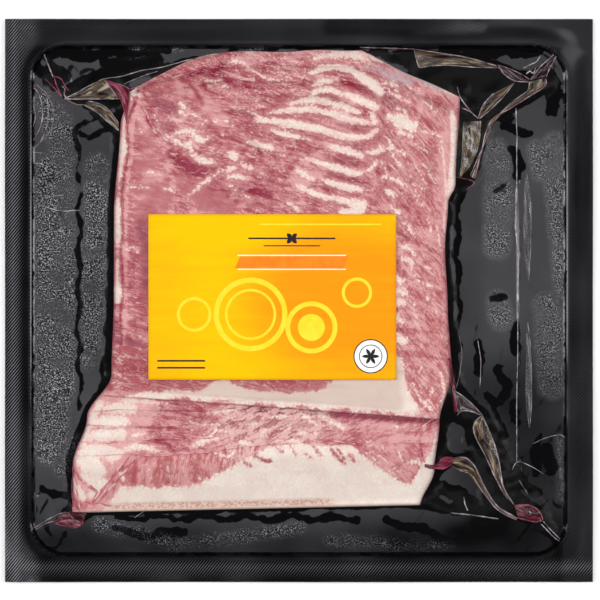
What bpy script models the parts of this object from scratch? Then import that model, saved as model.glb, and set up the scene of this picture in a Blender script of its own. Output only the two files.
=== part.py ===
"""A flat vacuum pack of thin-cut pork belly.

Three pieces lie on each other: a black formed bottom web with a raised seal flange, the shingled
slices sealed under clear film, and a label on the film. X runs along the slices, +Y points to the
end of the pack where the first slice lies, and the pack rests on Z = 0. Sizes are in metres.
"""

import math

import bmesh
import bpy
import numpy as np

# Bottom web: a formed sheet, with a shallow pocket inside the sealed flange
WEB_WIDTH = 0.272
WEB_LENGTH = 0.2606
WEB_THICKNESS = 0.0006
FLANGE_WIDTH = 0.012
POCKET_DEPTH = 0.0018
POCKET_WALL_RUN = 0.001
POCKET_CORNER_RADIUS = 0.016
WEB_CORNER_RADIUS = 0.0012
FLANGE_WAVE = 0.0005
CORNER_STEPS = 6
SIDE_STEPS = 14

# Slices: each lies on the one before it, one pitch further down the pack
SLICE_THICKNESS = 0.0024
SLICE_PITCH = 0.0072
BELLY_DEPTH = 0.025
UPPER_COUNT = 20
LOWER_COUNT = 6
FIRST_EDGE_Y = 0.1156
EDGE_WAVE = 0.0004
PRESSED_SHARE = 0.45  # a slice's thickness at its lean edge, where the film squeezes it
PRESSED_RUN = 0.004

# The first slices droop at both ends, and the later ones lie straighter
LEFT_DROOP = 0.021
LEFT_DROOP_FROM = -0.030
LEFT_DROOP_RUN = 0.052
LEFT_DROOP_SLICES = 3.0
RIGHT_SLOPES = ((0, 0.47), (8, 0.24), (14, 0.14), (19, 0.06))
RIGHT_SLOPE_FROM = ((0, 0.029), (8, -0.013), (19, -0.030))
UPPER_RIND_SLOPE = -0.07

# The lower bunch fans out at its left end
LOWER_TOP_Y = -0.037
LOWER_PITCH_LEFT = 0.0069
LOWER_PITCH_RIGHT = 0.0058
LOWER_FAN = ((-0.070, 0.0), (0.004, 1.0))
LAST_RIND_Y = -0.0960
LAST_RIND_SLOPE = 0.022

# Ends of the slices, as X against Y
LEFT_SIDE = (
    (-0.098, -0.1050),
    (-0.076, -0.1046),
    (-0.054, -0.0981),
    (-0.034, -0.0868),
    (0.000, -0.0857),
    (0.040, -0.0856),
    (0.080, -0.0828),
    (0.096, -0.0790),
)
RIGHT_SIDE = (
    (-0.096, 0.0560),
    (-0.078, 0.0627),
    (-0.056, 0.0650),
    (-0.034, 0.0706),
    (-0.002, 0.0688),
    (0.024, 0.0676),
    (0.045, 0.0690),
    (0.054, 0.0725),
    (0.095, 0.0745),
)

# Film over the stack
GAP = 0.0003
SEAT_Z = WEB_THICKNESS + GAP
FILM_THICKNESS = 0.0002
STEP_RUN = 0.0008
SIDE_ROUND = 0.006
SIDE_LOW = 0.25
SWELL = 0.0005
COLUMNS = 30
SIDE_COLUMNS = (0.0, 0.0012, 0.0032)

# Pleats of spare film, from the corners of the stack to the corners of the pocket.
# Each is its route in X and Y, with the height and width of the fold at its two ends.
PLEATS = {
    "top_right_long": (
        ((0.027, 0.1148), (0.060, 0.1115), (0.097, 0.1020), (0.1175, 0.1100)),
        (0.0026, 0.0016),
        (0.0030, 0.0022),
    ),
    "top_right_short": (
        ((0.070, 0.0885), (0.083, 0.0848), (0.094, 0.0945), (0.103, 0.0998)),
        (0.0062, 0.0030),
        (0.0036, 0.0024),
    ),
    "top_right_side": (
        ((0.080, 0.0500), (0.0865, 0.0790), (0.112, 0.0975), (0.1170, 0.1100)),
        (0.0012, 0.0018),
        (0.0030, 0.0024),
    ),
    "bottom_right_side": (
        ((0.067, -0.0330), (0.080, -0.0530), (0.096, -0.0930), (0.1165, -0.1070)),
        (0.0075, 0.0014),
        (0.0034, 0.0022),
    ),
    "bottom_right_end": (
        ((0.060, -0.0765), (0.079, -0.0735), (0.090, -0.0940), (0.107, -0.1018)),
        (0.0062, 0.0018),
        (0.0036, 0.0024),
    ),
    "bottom_right_low": (
        ((0.052, -0.0945), (0.070, -0.0985), (0.092, -0.1010)),
        (0.0020, 0.0008),
        (0.0030, 0.0016),
    ),
    "bottom_left_end": (
        ((-0.098, -0.0960), (-0.107, -0.1020), (-0.1190, -0.1065)),
        (0.0030, 0.0010),
        (0.0050, 0.0020),
    ),
    "top_left_end": (
        ((-0.079, 0.0890), (-0.0900, 0.1010), (-0.1060, 0.0940), (-0.1165, 0.1095)),
        (0.0058, 0.0014),
        (0.0044, 0.0024),
    ),
    "top_left_side": (
        ((-0.080, 0.0770), (-0.0900, 0.0870), (-0.1060, 0.0936)),
        (0.0040, 0.0022),
        (0.0030, 0.0022),
    ),
}
PLEAT_STATIONS = 7
PLEAT_CREST = 0.25

# Label, laid over the crests of the slices
LABEL_SIZE = (0.1143, 0.0763)
LABEL_CENTRE = (-0.0123, 0.0016)
LABEL_THICKNESS = 0.0003
LABEL_CELLS = (20, 14)
LABEL_REACH = 0.0062

COLOURS = {
    "bottom_web": ((0.012, 0.012, 0.013, 1.0), 0.28),
    "sealed_slices": ((0.52, 0.20, 0.20, 1.0), 0.30),
    "label": ((0.97, 0.55, 0.02, 1.0), 0.35),
}


def clear_scene():
    for obj in list(bpy.data.objects):
        bpy.data.objects.remove(obj)


def material(name):
    """A plain shader in the piece's own colour."""
    colour, roughness = COLOURS[name]
    made = bpy.data.materials.new(name)
    made.use_nodes = True
    shader = made.node_tree.nodes["Principled BSDF"]
    shader.inputs["Base Color"].default_value = colour
    shader.inputs["Roughness"].default_value = roughness
    shader.inputs["Metallic"].default_value = 0.0
    return made


def object_from(bm, name):
    """Turns a closed bmesh into a named object in the scene."""
    bmesh.ops.recalc_face_normals(bm, faces=bm.faces)
    mesh = bpy.data.meshes.new(name)
    bm.to_mesh(mesh)
    bm.free()
    obj = bpy.data.objects.new(name, mesh)
    bpy.context.scene.collection.objects.link(obj)
    return obj


def skin_through(bm, loops):
    """Closes a solid through a row of loops that have the same number of points."""
    count = len(loops[0])
    for lower, upper in zip(loops, loops[1:]):
        for i in range(count):
            bm.faces.new((lower[i], lower[(i + 1) % count], upper[(i + 1) % count], upper[i]))
    bm.faces.new(loops[0])
    bm.faces.new(loops[-1])


def eased(value, stops):
    """Reads a curve through stops that is level at each of them."""
    at = np.array([stop[0] for stop in stops], float)
    to = np.array([stop[1] for stop in stops], float)
    value = np.asarray(value, float)
    i = np.clip(np.searchsorted(at, value) - 1, 0, len(at) - 2)
    share = np.clip((value - at[i]) / (at[i + 1] - at[i]), 0.0, 1.0)
    return to[i] + (to[i + 1] - to[i]) * share * share * (3.0 - 2.0 * share)


# ---------------------------------------------------------------- bottom web


def rounded_rectangle(half_width, half_length, radius):
    """Points round a rectangle with round corners, the same number for every size."""
    corners = ((1, 1, 0), (-1, 1, 90), (-1, -1, 180), (1, -1, 270))
    arcs = []
    for side_x, side_y, start in corners:
        centre_x = side_x * (half_width - radius)
        centre_y = side_y * (half_length - radius)
        for step in range(CORNER_STEPS + 1):
            angle = math.radians(start + 90.0 * step / CORNER_STEPS)
            arcs.append((centre_x + radius * math.cos(angle), centre_y + radius * math.sin(angle)))
    points = []
    for i, (x, y) in enumerate(arcs):
        points.append((x, y))
        if (i + 1) % (CORNER_STEPS + 1) == 0:
            next_x, next_y = arcs[(i + 1) % len(arcs)]
            for step in range(1, SIDE_STEPS):
                share = step / SIDE_STEPS
                points.append((x + (next_x - x) * share, y + (next_y - y) * share))
    return points


def flange_wave(x, y):
    """The free edge of the flange lifts and dips a little along its length."""
    return FLANGE_WAVE * (math.sin(41.0 * x + 0.6) + math.sin(47.0 * y - 1.1))


def make_bottom_web():
    """A sheet of even thickness: floor, sloping pocket wall and wavy flange."""
    flange_z = POCKET_DEPTH
    floor = (FLANGE_WIDTH + POCKET_WALL_RUN, 0.0, POCKET_CORNER_RADIUS - POCKET_WALL_RUN, 0.0)
    step = (FLANGE_WIDTH, flange_z, POCKET_CORNER_RADIUS, 0.0)
    middle = (0.5 * FLANGE_WIDTH, flange_z, 0.5 * POCKET_CORNER_RADIUS, 0.4)
    rim = (0.0, flange_z, WEB_CORNER_RADIUS, 1.0)
    under = [(*ring, 0.0) for ring in (floor, step, middle, rim)]
    over = [(*ring, WEB_THICKNESS) for ring in (rim, middle, step, floor)]
    bm = bmesh.new()
    loops = []
    for inset, z, radius, wave, lift in under + over:
        outline = rounded_rectangle(0.5 * WEB_WIDTH - inset, 0.5 * WEB_LENGTH - inset, radius)
        loops.append([bm.verts.new((x, y, z + lift + wave * flange_wave(x, y))) for x, y in outline])
    skin_through(bm, loops)
    return object_from(bm, "bottom_web")


# ------------------------------------------------------------- shingled slices


def edge_wave(number, x):
    """Each slice's edge wanders by its own small wave."""
    phase = 2.4 * number
    return EDGE_WAVE * (np.sin(95.0 * x + phase) + 0.6 * np.sin(230.0 * x + 1.7 * phase))


def upper_lean_edge(number, x):
    """Y of the upper bunch's slice at its lean edge, which shows."""
    left = np.clip((LEFT_DROOP_FROM - x) / LEFT_DROOP_RUN, 0.0, 1.2) ** 1.6
    left = left * LEFT_DROOP * math.exp(-number / LEFT_DROOP_SLICES)
    start = eased(number, RIGHT_SLOPE_FROM)
    right = eased(number, RIGHT_SLOPES) * np.maximum(x - start, 0.0)
    return FIRST_EDGE_Y - number * SLICE_PITCH - left - right + edge_wave(number, x)


def lower_lean_edge(number, x):
    """Y of the lower bunch's slice at its lean edge."""
    fan = eased(x, LOWER_FAN)
    pitch = LOWER_PITCH_LEFT + (LOWER_PITCH_RIGHT - LOWER_PITCH_LEFT) * fan
    return LOWER_TOP_Y - number * pitch + edge_wave(UPPER_COUNT + number, x)


def upper_rind_edge(number, x):
    """Y of the upper bunch's slice at its rind, which the next slice covers."""
    straight = FIRST_EDGE_Y - number * SLICE_PITCH - BELLY_DEPTH
    return straight + UPPER_RIND_SLOPE * (x + 0.5 * LABEL_SIZE[0])


def lower_rind_edge(number, x):
    behind = LOWER_COUNT - 1 - number
    return LAST_RIND_Y + LAST_RIND_SLOPE * x + behind * LOWER_PITCH_LEFT


# The lower bunch is laid first, and the upper bunch's last slices lie on its head
SLICES = [(lower_lean_edge, lower_rind_edge, n) for n in range(LOWER_COUNT)]
SLICES += [(upper_lean_edge, upper_rind_edge, n) for n in range(UPPER_COUNT)]


def side_factor(x, y):
    """How far the stack has risen, from its rounded end at each side to its full height."""
    inward = np.minimum(x - eased(y, LEFT_SIDE), eased(y, RIGHT_SIDE) - x)
    share = 1.0 - np.clip(inward / SIDE_ROUND, 0.0, 1.0)
    return SIDE_LOW + (1.0 - SIDE_LOW) * np.sqrt(1.0 - share * share)


def swell(x, y):
    return SWELL * np.sin(48.0 * x + 0.7) * np.cos(37.0 * y + 0.4)


def stack_height(x, y):
    """Height of the film over the seat. A slice rises by one thickness over each slice below it,
    which gives every slice in the run the same even tilt."""
    below = np.zeros_like(x)
    top = np.zeros_like(x)
    for lean_edge, rind_edge, number in SLICES:
        lean = lean_edge(number, x)
        rind = rind_edge(number, x)
        inside = (y <= lean) & (y >= rind)
        pressed = np.clip((lean - y) / PRESSED_RUN, 0.0, 1.0)
        pressed = PRESSED_SHARE + (1.0 - PRESSED_SHARE) * pressed * (2.0 - pressed)
        top = np.where(inside, below + SLICE_THICKNESS * pressed, top)
        from_lean = np.clip((lean - y) / SLICE_PITCH + 0.5, 0.0, 1.0)
        from_rind = np.clip((y - rind) / SLICE_PITCH + 0.5, 0.0, 1.0)
        below = below + SLICE_THICKNESS * from_lean * from_rind
    raised = np.where(top > 0.0, top + swell(x, y) * np.clip(top / BELLY_DEPTH * 4.0, 0.0, 1.0), 0.0)
    return FILM_THICKNESS + raised * side_factor(x, y)


def between(row, other, share=0.5):
    """A row that runs between two rows."""
    return lambda x: (1.0 - share) * row(x) + share * other(x)


def shifted(edge, number, offset):
    return lambda x: edge(number, x) + offset


def kept_below(row, limit, spare):
    return lambda x: np.minimum(row(x), limit(x) - spare)


def stack_rows():
    """The rows of the stack's surface, as Y against X: a foot and a crest at each slice's edge,
    with a row between each crest and the next foot."""
    inside = 0.00002
    last, front = UPPER_COUNT - 1, LOWER_COUNT - 1
    rows = []
    for number in range(UPPER_COUNT):
        foot = shifted(upper_lean_edge, number, STEP_RUN)
        if rows:
            rows.append(between(rows[-1], foot))
        rows += [foot, shifted(upper_lean_edge, number, -inside)]
    rind = shifted(upper_rind_edge, last, inside)
    rows += [between(rows[-1], rind, 0.4), between(rows[-1], rind, 0.75), rind]
    foot = shifted(upper_rind_edge, last, -STEP_RUN)
    rows.append(foot)
    for number in range(2, LOWER_COUNT):
        spare = 0.0012 * (number - 1)
        step = kept_below(shifted(lower_lean_edge, number, STEP_RUN), foot, spare)
        crest = kept_below(shifted(lower_lean_edge, number, -inside), foot, spare + 0.0004)
        rows += [between(rows[-1], step), step, crest]
    rind = shifted(lower_rind_edge, front, inside)
    rows += [between(rows[-1], rind, 0.4), between(rows[-1], rind, 0.75), rind]
    return rows


def column_places():
    """Shares across the stack, close together where its ends round over."""
    width = 0.16
    ends = [distance / width for distance in SIDE_COLUMNS]
    middle = np.linspace(0.05, 0.95, COLUMNS)
    return np.concatenate([ends, middle, [1.0 - share for share in reversed(ends)]])


def make_stack():
    """The sealed stack: its stepped top surface, closed down to a flat seat."""
    rows = stack_rows()
    shares = column_places()
    bm = bmesh.new()
    bmesh.ops.create_grid(bm, x_segments=len(shares) - 1, y_segments=len(rows) - 1, size=1.0)
    bm.verts.ensure_lookup_table()
    for r, row in enumerate(rows):
        x = -0.085 + 0.155 * shares
        for _ in range(3):
            y = row(x)
            left = eased(y, LEFT_SIDE)
            x = left + (eased(y, RIGHT_SIDE) - left) * shares
        z = SEAT_Z + stack_height(x, y)
        for c in range(len(shares)):
            bm.verts[r * len(shares) + c].co = (x[c], y[c], z[c])
    rim = [edge for edge in bm.edges if edge.is_boundary]
    skirt = bmesh.ops.extrude_edge_only(bm, edges=rim)["geom"]
    for vertex in (v for v in skirt if isinstance(v, bmesh.types.BMVert)):
        vertex.co.z = SEAT_Z
    seat = [edge for edge in bm.edges if edge.is_boundary]
    bmesh.ops.edgeloop_fill(bm, edges=seat)
    return object_from(bm, "sealed_slices")


# -------------------------------------------------------------- folds of film


def smooth_route(points, count):
    """Even stations along a curve through the points."""
    points = np.array(points, float)
    knots = np.linspace(0.0, 1.0, len(points))
    places = np.linspace(0.0, 1.0, count)
    ends = np.vstack([2 * points[0] - points[1], points, 2 * points[-1] - points[-2]])
    route = []
    for place in places:
        i = min(int(np.searchsorted(knots, place, side="right")) - 1, len(points) - 2)
        t = (place - knots[i]) / (knots[i + 1] - knots[i])
        a, b, c, d = ends[i : i + 4]
        curve = 2 * b + (c - a) * t + (2 * a - 5 * b + 4 * c - d) * t**2
        route.append(0.5 * (curve + (3 * b - a - 3 * c + d) * t**3))
    return np.array(route)


def make_pleat(name, points, heights, widths):
    """One fold: a section with sloping sides and a narrow crest, carried along its route."""
    route = smooth_route(points, PLEAT_STATIONS)
    along = np.gradient(route, axis=0)
    across = np.stack([-along[:, 1], along[:, 0]], axis=1)
    across /= np.linalg.norm(across, axis=1, keepdims=True)
    bm = bmesh.new()
    sections = []
    for i, (centre, side) in enumerate(zip(route, across)):
        share = i / (PLEAT_STATIONS - 1)
        height = heights[0] + (heights[1] - heights[0]) * share
        width = widths[0] + (widths[1] - widths[0]) * share
        section = []
        for reach, z in ((-1.0, 0.0), (-PLEAT_CREST, height), (PLEAT_CREST, height), (1.0, 0.0)):
            x, y = centre + side * reach * 0.5 * width
            section.append(bm.verts.new((x, y, SEAT_Z + z)))
        sections.append(section)
    skin_through(bm, sections)
    return object_from(bm, name)


def fuse_pleats(stack):
    """Joins the folds to the film over the stack, so that they are one skin."""
    folds = bpy.data.collections.new("folds")
    bpy.context.scene.collection.children.link(folds)
    for name, (points, heights, widths) in PLEATS.items():
        pleat = make_pleat(name, points, heights, widths)
        folds.objects.link(pleat)
        bpy.context.scene.collection.objects.unlink(pleat)
    union = stack.modifiers.new("folds", "BOOLEAN")
    union.operation = "UNION"
    union.operand_type = "COLLECTION"
    union.collection = folds
    union.solver = "MANIFOLD"
    bpy.context.view_layer.objects.active = stack
    bpy.ops.object.modifier_apply(modifier=union.name)
    for pleat in list(folds.objects):
        bpy.data.objects.remove(pleat)
    bpy.data.collections.remove(folds)


# ---------------------------------------------------------------------- label


def crest_height(x, y):
    """The highest point of the film within reach, which the stiff label bridges to."""
    highest = np.zeros_like(x)
    for step_x in np.linspace(-1.0, 1.0, 7):
        for step_y in np.linspace(-1.0, 1.0, 11):
            near = stack_height(x + step_x * LABEL_REACH, y + step_y * LABEL_REACH)
            highest = np.maximum(highest, near)
    return highest


def make_label():
    """A thin sheet over the crests of the slices."""
    bm = bmesh.new()
    cells_x, cells_y = LABEL_CELLS
    bmesh.ops.create_grid(bm, x_segments=cells_x, y_segments=cells_y, size=0.5)
    x = np.array([v.co.x for v in bm.verts]) * LABEL_SIZE[0] + LABEL_CENTRE[0]
    y = np.array([v.co.y for v in bm.verts]) * LABEL_SIZE[1] + LABEL_CENTRE[1]
    z = SEAT_Z + GAP + crest_height(x, y)
    for vertex, place in zip(bm.verts, zip(x, y, z)):
        vertex.co = place
    grown = bmesh.ops.extrude_face_region(bm, geom=list(bm.faces), use_keep_orig=True)["geom"]
    for vertex in (v for v in grown if isinstance(v, bmesh.types.BMVert)):
        vertex.co.z += LABEL_THICKNESS
    return object_from(bm, "label")


def main():
    clear_scene()
    web = make_bottom_web()
    stack = make_stack()
    fuse_pleats(stack)
    label = make_label()
    for obj in (web, stack, label):
        obj.data.materials.append(material(obj.name))


main()
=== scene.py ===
# %% [markdown]
# # A flat vacuum pack of thin-cut pork belly
#
# The pack is a black formed plastic sheet, a stack of shingled raw slices, a clear film drawn tight
# over them by vacuum, and a yellow label stuck on the film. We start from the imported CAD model, which
# gives the size and place of everything, and dress it: every slice becomes a piece of its own with
# marbling, the film becomes a real thin sheet, and the black sheet gets its knurled seal and creases.

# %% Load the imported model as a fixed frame
import math
from types import SimpleNamespace

import bmesh
import bpy
import numpy as np
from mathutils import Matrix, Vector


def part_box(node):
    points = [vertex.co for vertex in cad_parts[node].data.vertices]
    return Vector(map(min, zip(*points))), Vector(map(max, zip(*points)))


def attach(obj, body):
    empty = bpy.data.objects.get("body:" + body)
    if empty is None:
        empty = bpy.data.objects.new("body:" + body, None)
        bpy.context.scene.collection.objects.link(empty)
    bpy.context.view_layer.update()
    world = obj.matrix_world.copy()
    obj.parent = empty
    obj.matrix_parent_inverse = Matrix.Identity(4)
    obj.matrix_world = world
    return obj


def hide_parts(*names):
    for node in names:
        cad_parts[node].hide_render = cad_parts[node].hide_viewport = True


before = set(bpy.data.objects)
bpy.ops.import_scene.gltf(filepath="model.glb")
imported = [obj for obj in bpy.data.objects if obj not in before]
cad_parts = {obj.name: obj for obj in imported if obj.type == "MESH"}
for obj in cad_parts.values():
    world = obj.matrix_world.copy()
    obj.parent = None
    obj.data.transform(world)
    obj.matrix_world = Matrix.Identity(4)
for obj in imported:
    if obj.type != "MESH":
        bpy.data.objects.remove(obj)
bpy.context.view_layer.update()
web_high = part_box("bottom_web")[1]
label_low, label_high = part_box("label")

# %% [markdown]
# All lengths below are written in millimetres, because that is how a packer or a butcher would say
# them. One factor turns them into Blender's metres. A grid laid over a formula is the main tool here:
# film, slices and label are all sheets, so each starts as a flat grid from bmesh and is then laid
# where its formula says.

# %% Sheets and slabs that are laid by a formula
MM = 0.001


def add_piece(mesh, node=None, smooth=True):
    """Puts a finished mesh into the scene, riding on the pack."""
    piece = bpy.data.objects.new(mesh.name, mesh)
    bpy.context.scene.collection.objects.link(piece)
    if smooth:
        mesh.shade_smooth()
    else:
        mesh.shade_flat()
    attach(piece, "root")
    if node:
        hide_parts(node)
    return piece


def write_field(mesh, name, values):
    """Stores one number per vertex, which a material can read by name."""
    field = mesh.attributes.new(name, "FLOAT", "POINT")
    field.data.foreach_set("value", np.ascontiguousarray(values, np.float32))


def finished_mesh(bm, name):
    """Turns a bmesh into a mesh and frees it."""
    mesh = bpy.data.meshes.new(name)
    bm.to_mesh(mesh)
    bm.free()
    return mesh


def flat_grid(bm, columns, rows):
    """Adds a flat grid of cells. Gives its vertices, with u and v from 0 to 1 over the grid."""
    made = bmesh.ops.create_grid(bm, x_segments=columns, y_segments=rows, size=0.5)["verts"]
    u = np.array([vertex.co.x + 0.5 for vertex in made])
    v = np.array([vertex.co.y + 0.5 for vertex in made])
    return made, u, v


def lay_sheet(name, columns, rows, place, thick=False):
    """A grid of cells, laid where place(u, v, level) says. u and v run from 0 to 1 over the sheet.
    A thick sheet is closed, with level 0 below and level 1 above."""
    bm = bmesh.new()
    bmesh.ops.create_grid(bm, x_segments=columns, y_segments=rows, size=0.5)
    if thick:
        grown = bmesh.ops.extrude_face_region(bm, geom=list(bm.faces), use_keep_orig=True)["geom"]
        upper = [item for item in grown if isinstance(item, bmesh.types.BMVert)]
        bmesh.ops.translate(bm, vec=(0.0, 0.0, 1.0), verts=upper)
        bmesh.ops.recalc_face_normals(bm, faces=bm.faces)
    mesh = finished_mesh(bm, name)
    flat = np.empty(3 * len(mesh.vertices), np.float32)
    mesh.vertices.foreach_get("co", flat)
    u, v, level = (flat[axis::3].astype(float) for axis in range(3))
    x, y, z = place(u + 0.5, v + 0.5, level)
    mesh.vertices.foreach_set("co", (MM * np.column_stack((x, y, z))).ravel())
    mesh.update()
    return mesh, x, y, z


def cut_away(mesh, gone):
    """Takes out the faces whose points are all marked as gone."""
    bm = bmesh.new()
    bm.from_mesh(mesh)
    bm.verts.ensure_lookup_table()
    bare = [face for face in bm.faces if all(gone[v.index] for v in face.verts)]
    bmesh.ops.delete(bm, geom=bare, context="FACES")
    bm.to_mesh(mesh)
    bm.free()


def eased(value, stops):
    """Reads a curve through stops that is level at each of them."""
    at = np.array([stop[0] for stop in stops], float)
    to = np.array([stop[1] for stop in stops], float)
    value = np.asarray(value, float)
    i = np.clip(np.searchsorted(at, value) - 1, 0, len(at) - 2)
    share = np.clip((value - at[i]) / (at[i + 1] - at[i]), 0.0, 1.0)
    return to[i] + (to[i + 1] - to[i]) * share * share * (3.0 - 2.0 * share)


def rise(value, low, high):
    """0 below low, 1 above high, and a smooth way up between them."""
    share = np.clip((value - low) / (high - low), 0.0, 1.0)
    return share * share * (3.0 - 2.0 * share)


def read_grid(height, i, j):
    """Reads a grid of heights at column i and row j, which may lie between its points."""
    a, b = i.astype(int), j.astype(int)
    s, t = i - a, j - b
    lower = height[b, a] * (1 - s) + height[b, a + 1] * s
    upper = height[b + 1, a] * (1 - s) + height[b + 1, a + 1] * s
    return lower * (1 - t) + upper * t


# %% [markdown]
# ## The stack
#
# A slicer drops each slice a little further down the belt, so each lies on the one before it, one
# pitch on. The upper bunch of twenty slices was laid over a lower bunch of six, which fans out to the
# left. The first slices droop at their ends. These are the same rules as in the CAD source, so the
# slices fill the solid that they stand for.

# %% The rules that the slices are laid by
SLICE_THICKNESS = 2.4
SLICE_PITCH = 7.2
BELLY_DEPTH = 25.0
UPPER_COUNT = 20
LOWER_COUNT = 6
FIRST_EDGE_Y = 115.6
EDGE_WAVE = 0.4
PRESSED_SHARE = 0.07
PRESSED_RUN = 7.0
LEFT_DROOP = 21.0
RIGHT_SLOPES = ((0, 0.47), (8, 0.24), (14, 0.14), (19, 0.06))
RIGHT_SLOPE_FROM = ((0, 29.0), (8, -13.0), (19, -30.0))
LOWER_TOP_Y = -37.0
LOWER_PITCH_LEFT, LOWER_PITCH_RIGHT = 6.9, 5.8
LEFT_SIDE = (
    (-98.0, -105.0), (-76.0, -104.6), (-54.0, -98.1), (-34.0, -86.8),
    (0.0, -85.7), (40.0, -85.6), (80.0, -82.8), (96.0, -79.0),
)
RIGHT_SIDE = (
    (-96.0, 56.0), (-78.0, 62.7), (-56.0, 65.0), (-34.0, 70.6), (-2.0, 68.8),
    (24.0, 67.6), (45.0, 69.0), (54.0, 72.5), (95.0, 74.5),
)
WEB_THICKNESS = 0.6
SEAT_Z = WEB_THICKNESS + 0.3
FILM_THICKNESS = 0.2
TOP_Z = 11.72  # the pack's highest point
SIDE_ROUND, SIDE_LOW = 4.2, 0.30


def edge_wave(number, x):
    """No slice is cut quite straight."""
    phase = 2.4 * number
    return EDGE_WAVE * (np.sin(0.095 * x + phase) + 0.6 * np.sin(0.230 * x + 1.7 * phase))


def upper_lean_edge(number, x):
    left = np.clip((-30.0 - x) / 52.0, 0.0, 1.2) ** 1.6 * LEFT_DROOP * math.exp(-number / 3.0)
    start = eased(number, RIGHT_SLOPE_FROM)
    right = eased(number, RIGHT_SLOPES) * np.maximum(x - start, 0.0)
    return FIRST_EDGE_Y - number * SLICE_PITCH - left - right + edge_wave(number, x)


def lower_lean_edge(number, x):
    pitch = LOWER_PITCH_LEFT + (LOWER_PITCH_RIGHT - LOWER_PITCH_LEFT) * eased(x, ((-70, 0), (4, 1)))
    return LOWER_TOP_Y - number * pitch + edge_wave(UPPER_COUNT + number, x)


def upper_rind_edge(number, x):
    return FIRST_EDGE_Y - number * SLICE_PITCH - BELLY_DEPTH - 0.07 * (x + 57.15)


def lower_rind_edge(number, x):
    return -96.0 + 0.022 * x + (LOWER_COUNT - 1 - number) * LOWER_PITCH_LEFT


SLICES = [("lower", lower_lean_edge, lower_rind_edge, n) for n in range(LOWER_COUNT)]
SLICES += [("upper", upper_lean_edge, upper_rind_edge, n) for n in range(UPPER_COUNT)]


def side_factor(x, y):
    """How much of its height the stack keeps here. It is rounded off at both sides."""
    from_side = np.minimum(x - eased(y, LEFT_SIDE), eased(y, RIGHT_SIDE) - x)
    share = 1.0 - np.clip(from_side / SIDE_ROUND, 0.0, 1.0)
    return SIDE_LOW + (1.0 - SIDE_LOW) * np.sqrt(1.0 - share * share)


def lying_below(place, x, y):
    """Height of the slices that were laid before the one at this place in the list."""
    below = np.zeros_like(x)
    for _, lean_edge, rind_edge, number in SLICES[:place]:
        from_lean = np.clip((lean_edge(number, x) - y) / SLICE_PITCH + 0.5, 0.0, 1.0)
        from_rind = np.clip((y - rind_edge(number, x)) / SLICE_PITCH + 0.5, 0.0, 1.0)
        below += SLICE_THICKNESS * from_lean * from_rind
    return below


def pressed(depth):
    """The film squeezes a slice thin at its lean edge."""
    share = np.clip(depth / PRESSED_RUN, 0.0, 1.0)
    return PRESSED_SHARE + (1.0 - PRESSED_SHARE) * share * (2.0 - share)


def swell(x, y, top):
    """The whole stack swells and sinks a little."""
    return 0.5 * np.sin(0.048 * x + 0.7) * np.cos(0.037 * y + 0.4) * np.clip(0.16 * top, 0.0, 1.0)


def stack_height(x, y):
    """Height of the stack's top over its seat."""
    below, top = np.zeros_like(x), np.zeros_like(x)
    for _, lean_edge, rind_edge, number in SLICES:
        lean, rind = lean_edge(number, x), rind_edge(number, x)
        inside = (y <= lean) & (y >= rind)
        top = np.where(inside, below + SLICE_THICKNESS * pressed(lean - y), top)
        from_lean = np.clip((lean - y) / SLICE_PITCH + 0.5, 0.0, 1.0)
        from_rind = np.clip((y - rind) / SLICE_PITCH + 0.5, 0.0, 1.0)
        below = below + SLICE_THICKNESS * from_lean * from_rind
    shows = (top > 0.0) & (x > eased(y, LEFT_SIDE)) & (x < eased(y, RIGHT_SIDE))
    return np.where(shows, (top + swell(x, y, top)) * side_factor(x, y), 0.0)


print("slices:", len(SLICES), "thickest stack, mm:", round(float(stack_height(
    *np.meshgrid(np.linspace(-80, 60, 90), np.linspace(-95, 110, 200))).max()), 1))

# %% [markdown]
# ## Marbling
#
# Pork belly is layers of lean and fat. In a shingled pack we see a narrow strip of every slice, and the
# same fat seam shows in each strip as a white streak, while the last slice of a bunch shows its whole
# section down to the rind. Seams like these are drawn as strokes: a line of points, each with a half
# width, like a brush that is pressed harder or softer. Places and widths are in pixels of the photograph,
# where they were seen. A slice then asks how far inside the nearest stroke each of its points lies. That
# distance goes to the mesh, and the material breaks its edge up with fine noise, so that the mesh doesn't
# need a vertex for every fleck.

# %% Strokes and how deep inside them a place lies
PX = 0.4627  # millimetres to one pixel of the photograph, from the label's stock width of 4.5 inches
MID_PX, MID_PY = 299.0, 300.5


def at(px, py):
    """A place in the photograph, as X and Y on the pack in mm."""
    return (px - MID_PX) * PX, (MID_PY - py) * PX


def inside_strokes(x, y, strokes):
    """How far inside the nearest stroke each place is, in mm. It is negative outside."""
    px, py = MID_PX + x / PX, MID_PY - y / PX
    deepest = np.full_like(px, -20.0)
    for stroke in strokes:
        for (x0, y0, w0), (x1, y1, w1) in zip(stroke, stroke[1:] or stroke):
            reach = max(w0, w1) + 14.0
            near = (px > min(x0, x1) - reach) & (px < max(x0, x1) + reach)
            near &= (py > min(y0, y1) - reach) & (py < max(y0, y1) + reach)
            if not near.any():
                continue
            ax, ay, dx, dy = px[near] - x0, py[near] - y0, x1 - x0, y1 - y0
            share = np.clip((ax * dx + ay * dy) / max(dx * dx + dy * dy, 1e-9), 0.0, 1.0)
            depth = w0 + (w1 - w0) * share - np.hypot(ax - share * dx, ay - share * dy)
            deepest[near] = np.maximum(deepest[near], depth)
    return deepest * PX


def zone(x, y, strokes, soft):
    """1 inside the strokes and 0 outside, with a border this many mm soft on each side."""
    return rise(inside_strokes(x, y, strokes), -soft, soft)


def below_line(x, y, line):
    """How far below a line of points in the photograph each place is, in mm."""
    px, py = MID_PX + x / PX, MID_PY - y / PX
    return (py - np.interp(px, [point[0] for point in line], [point[1] for point in line])) * PX


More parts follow.
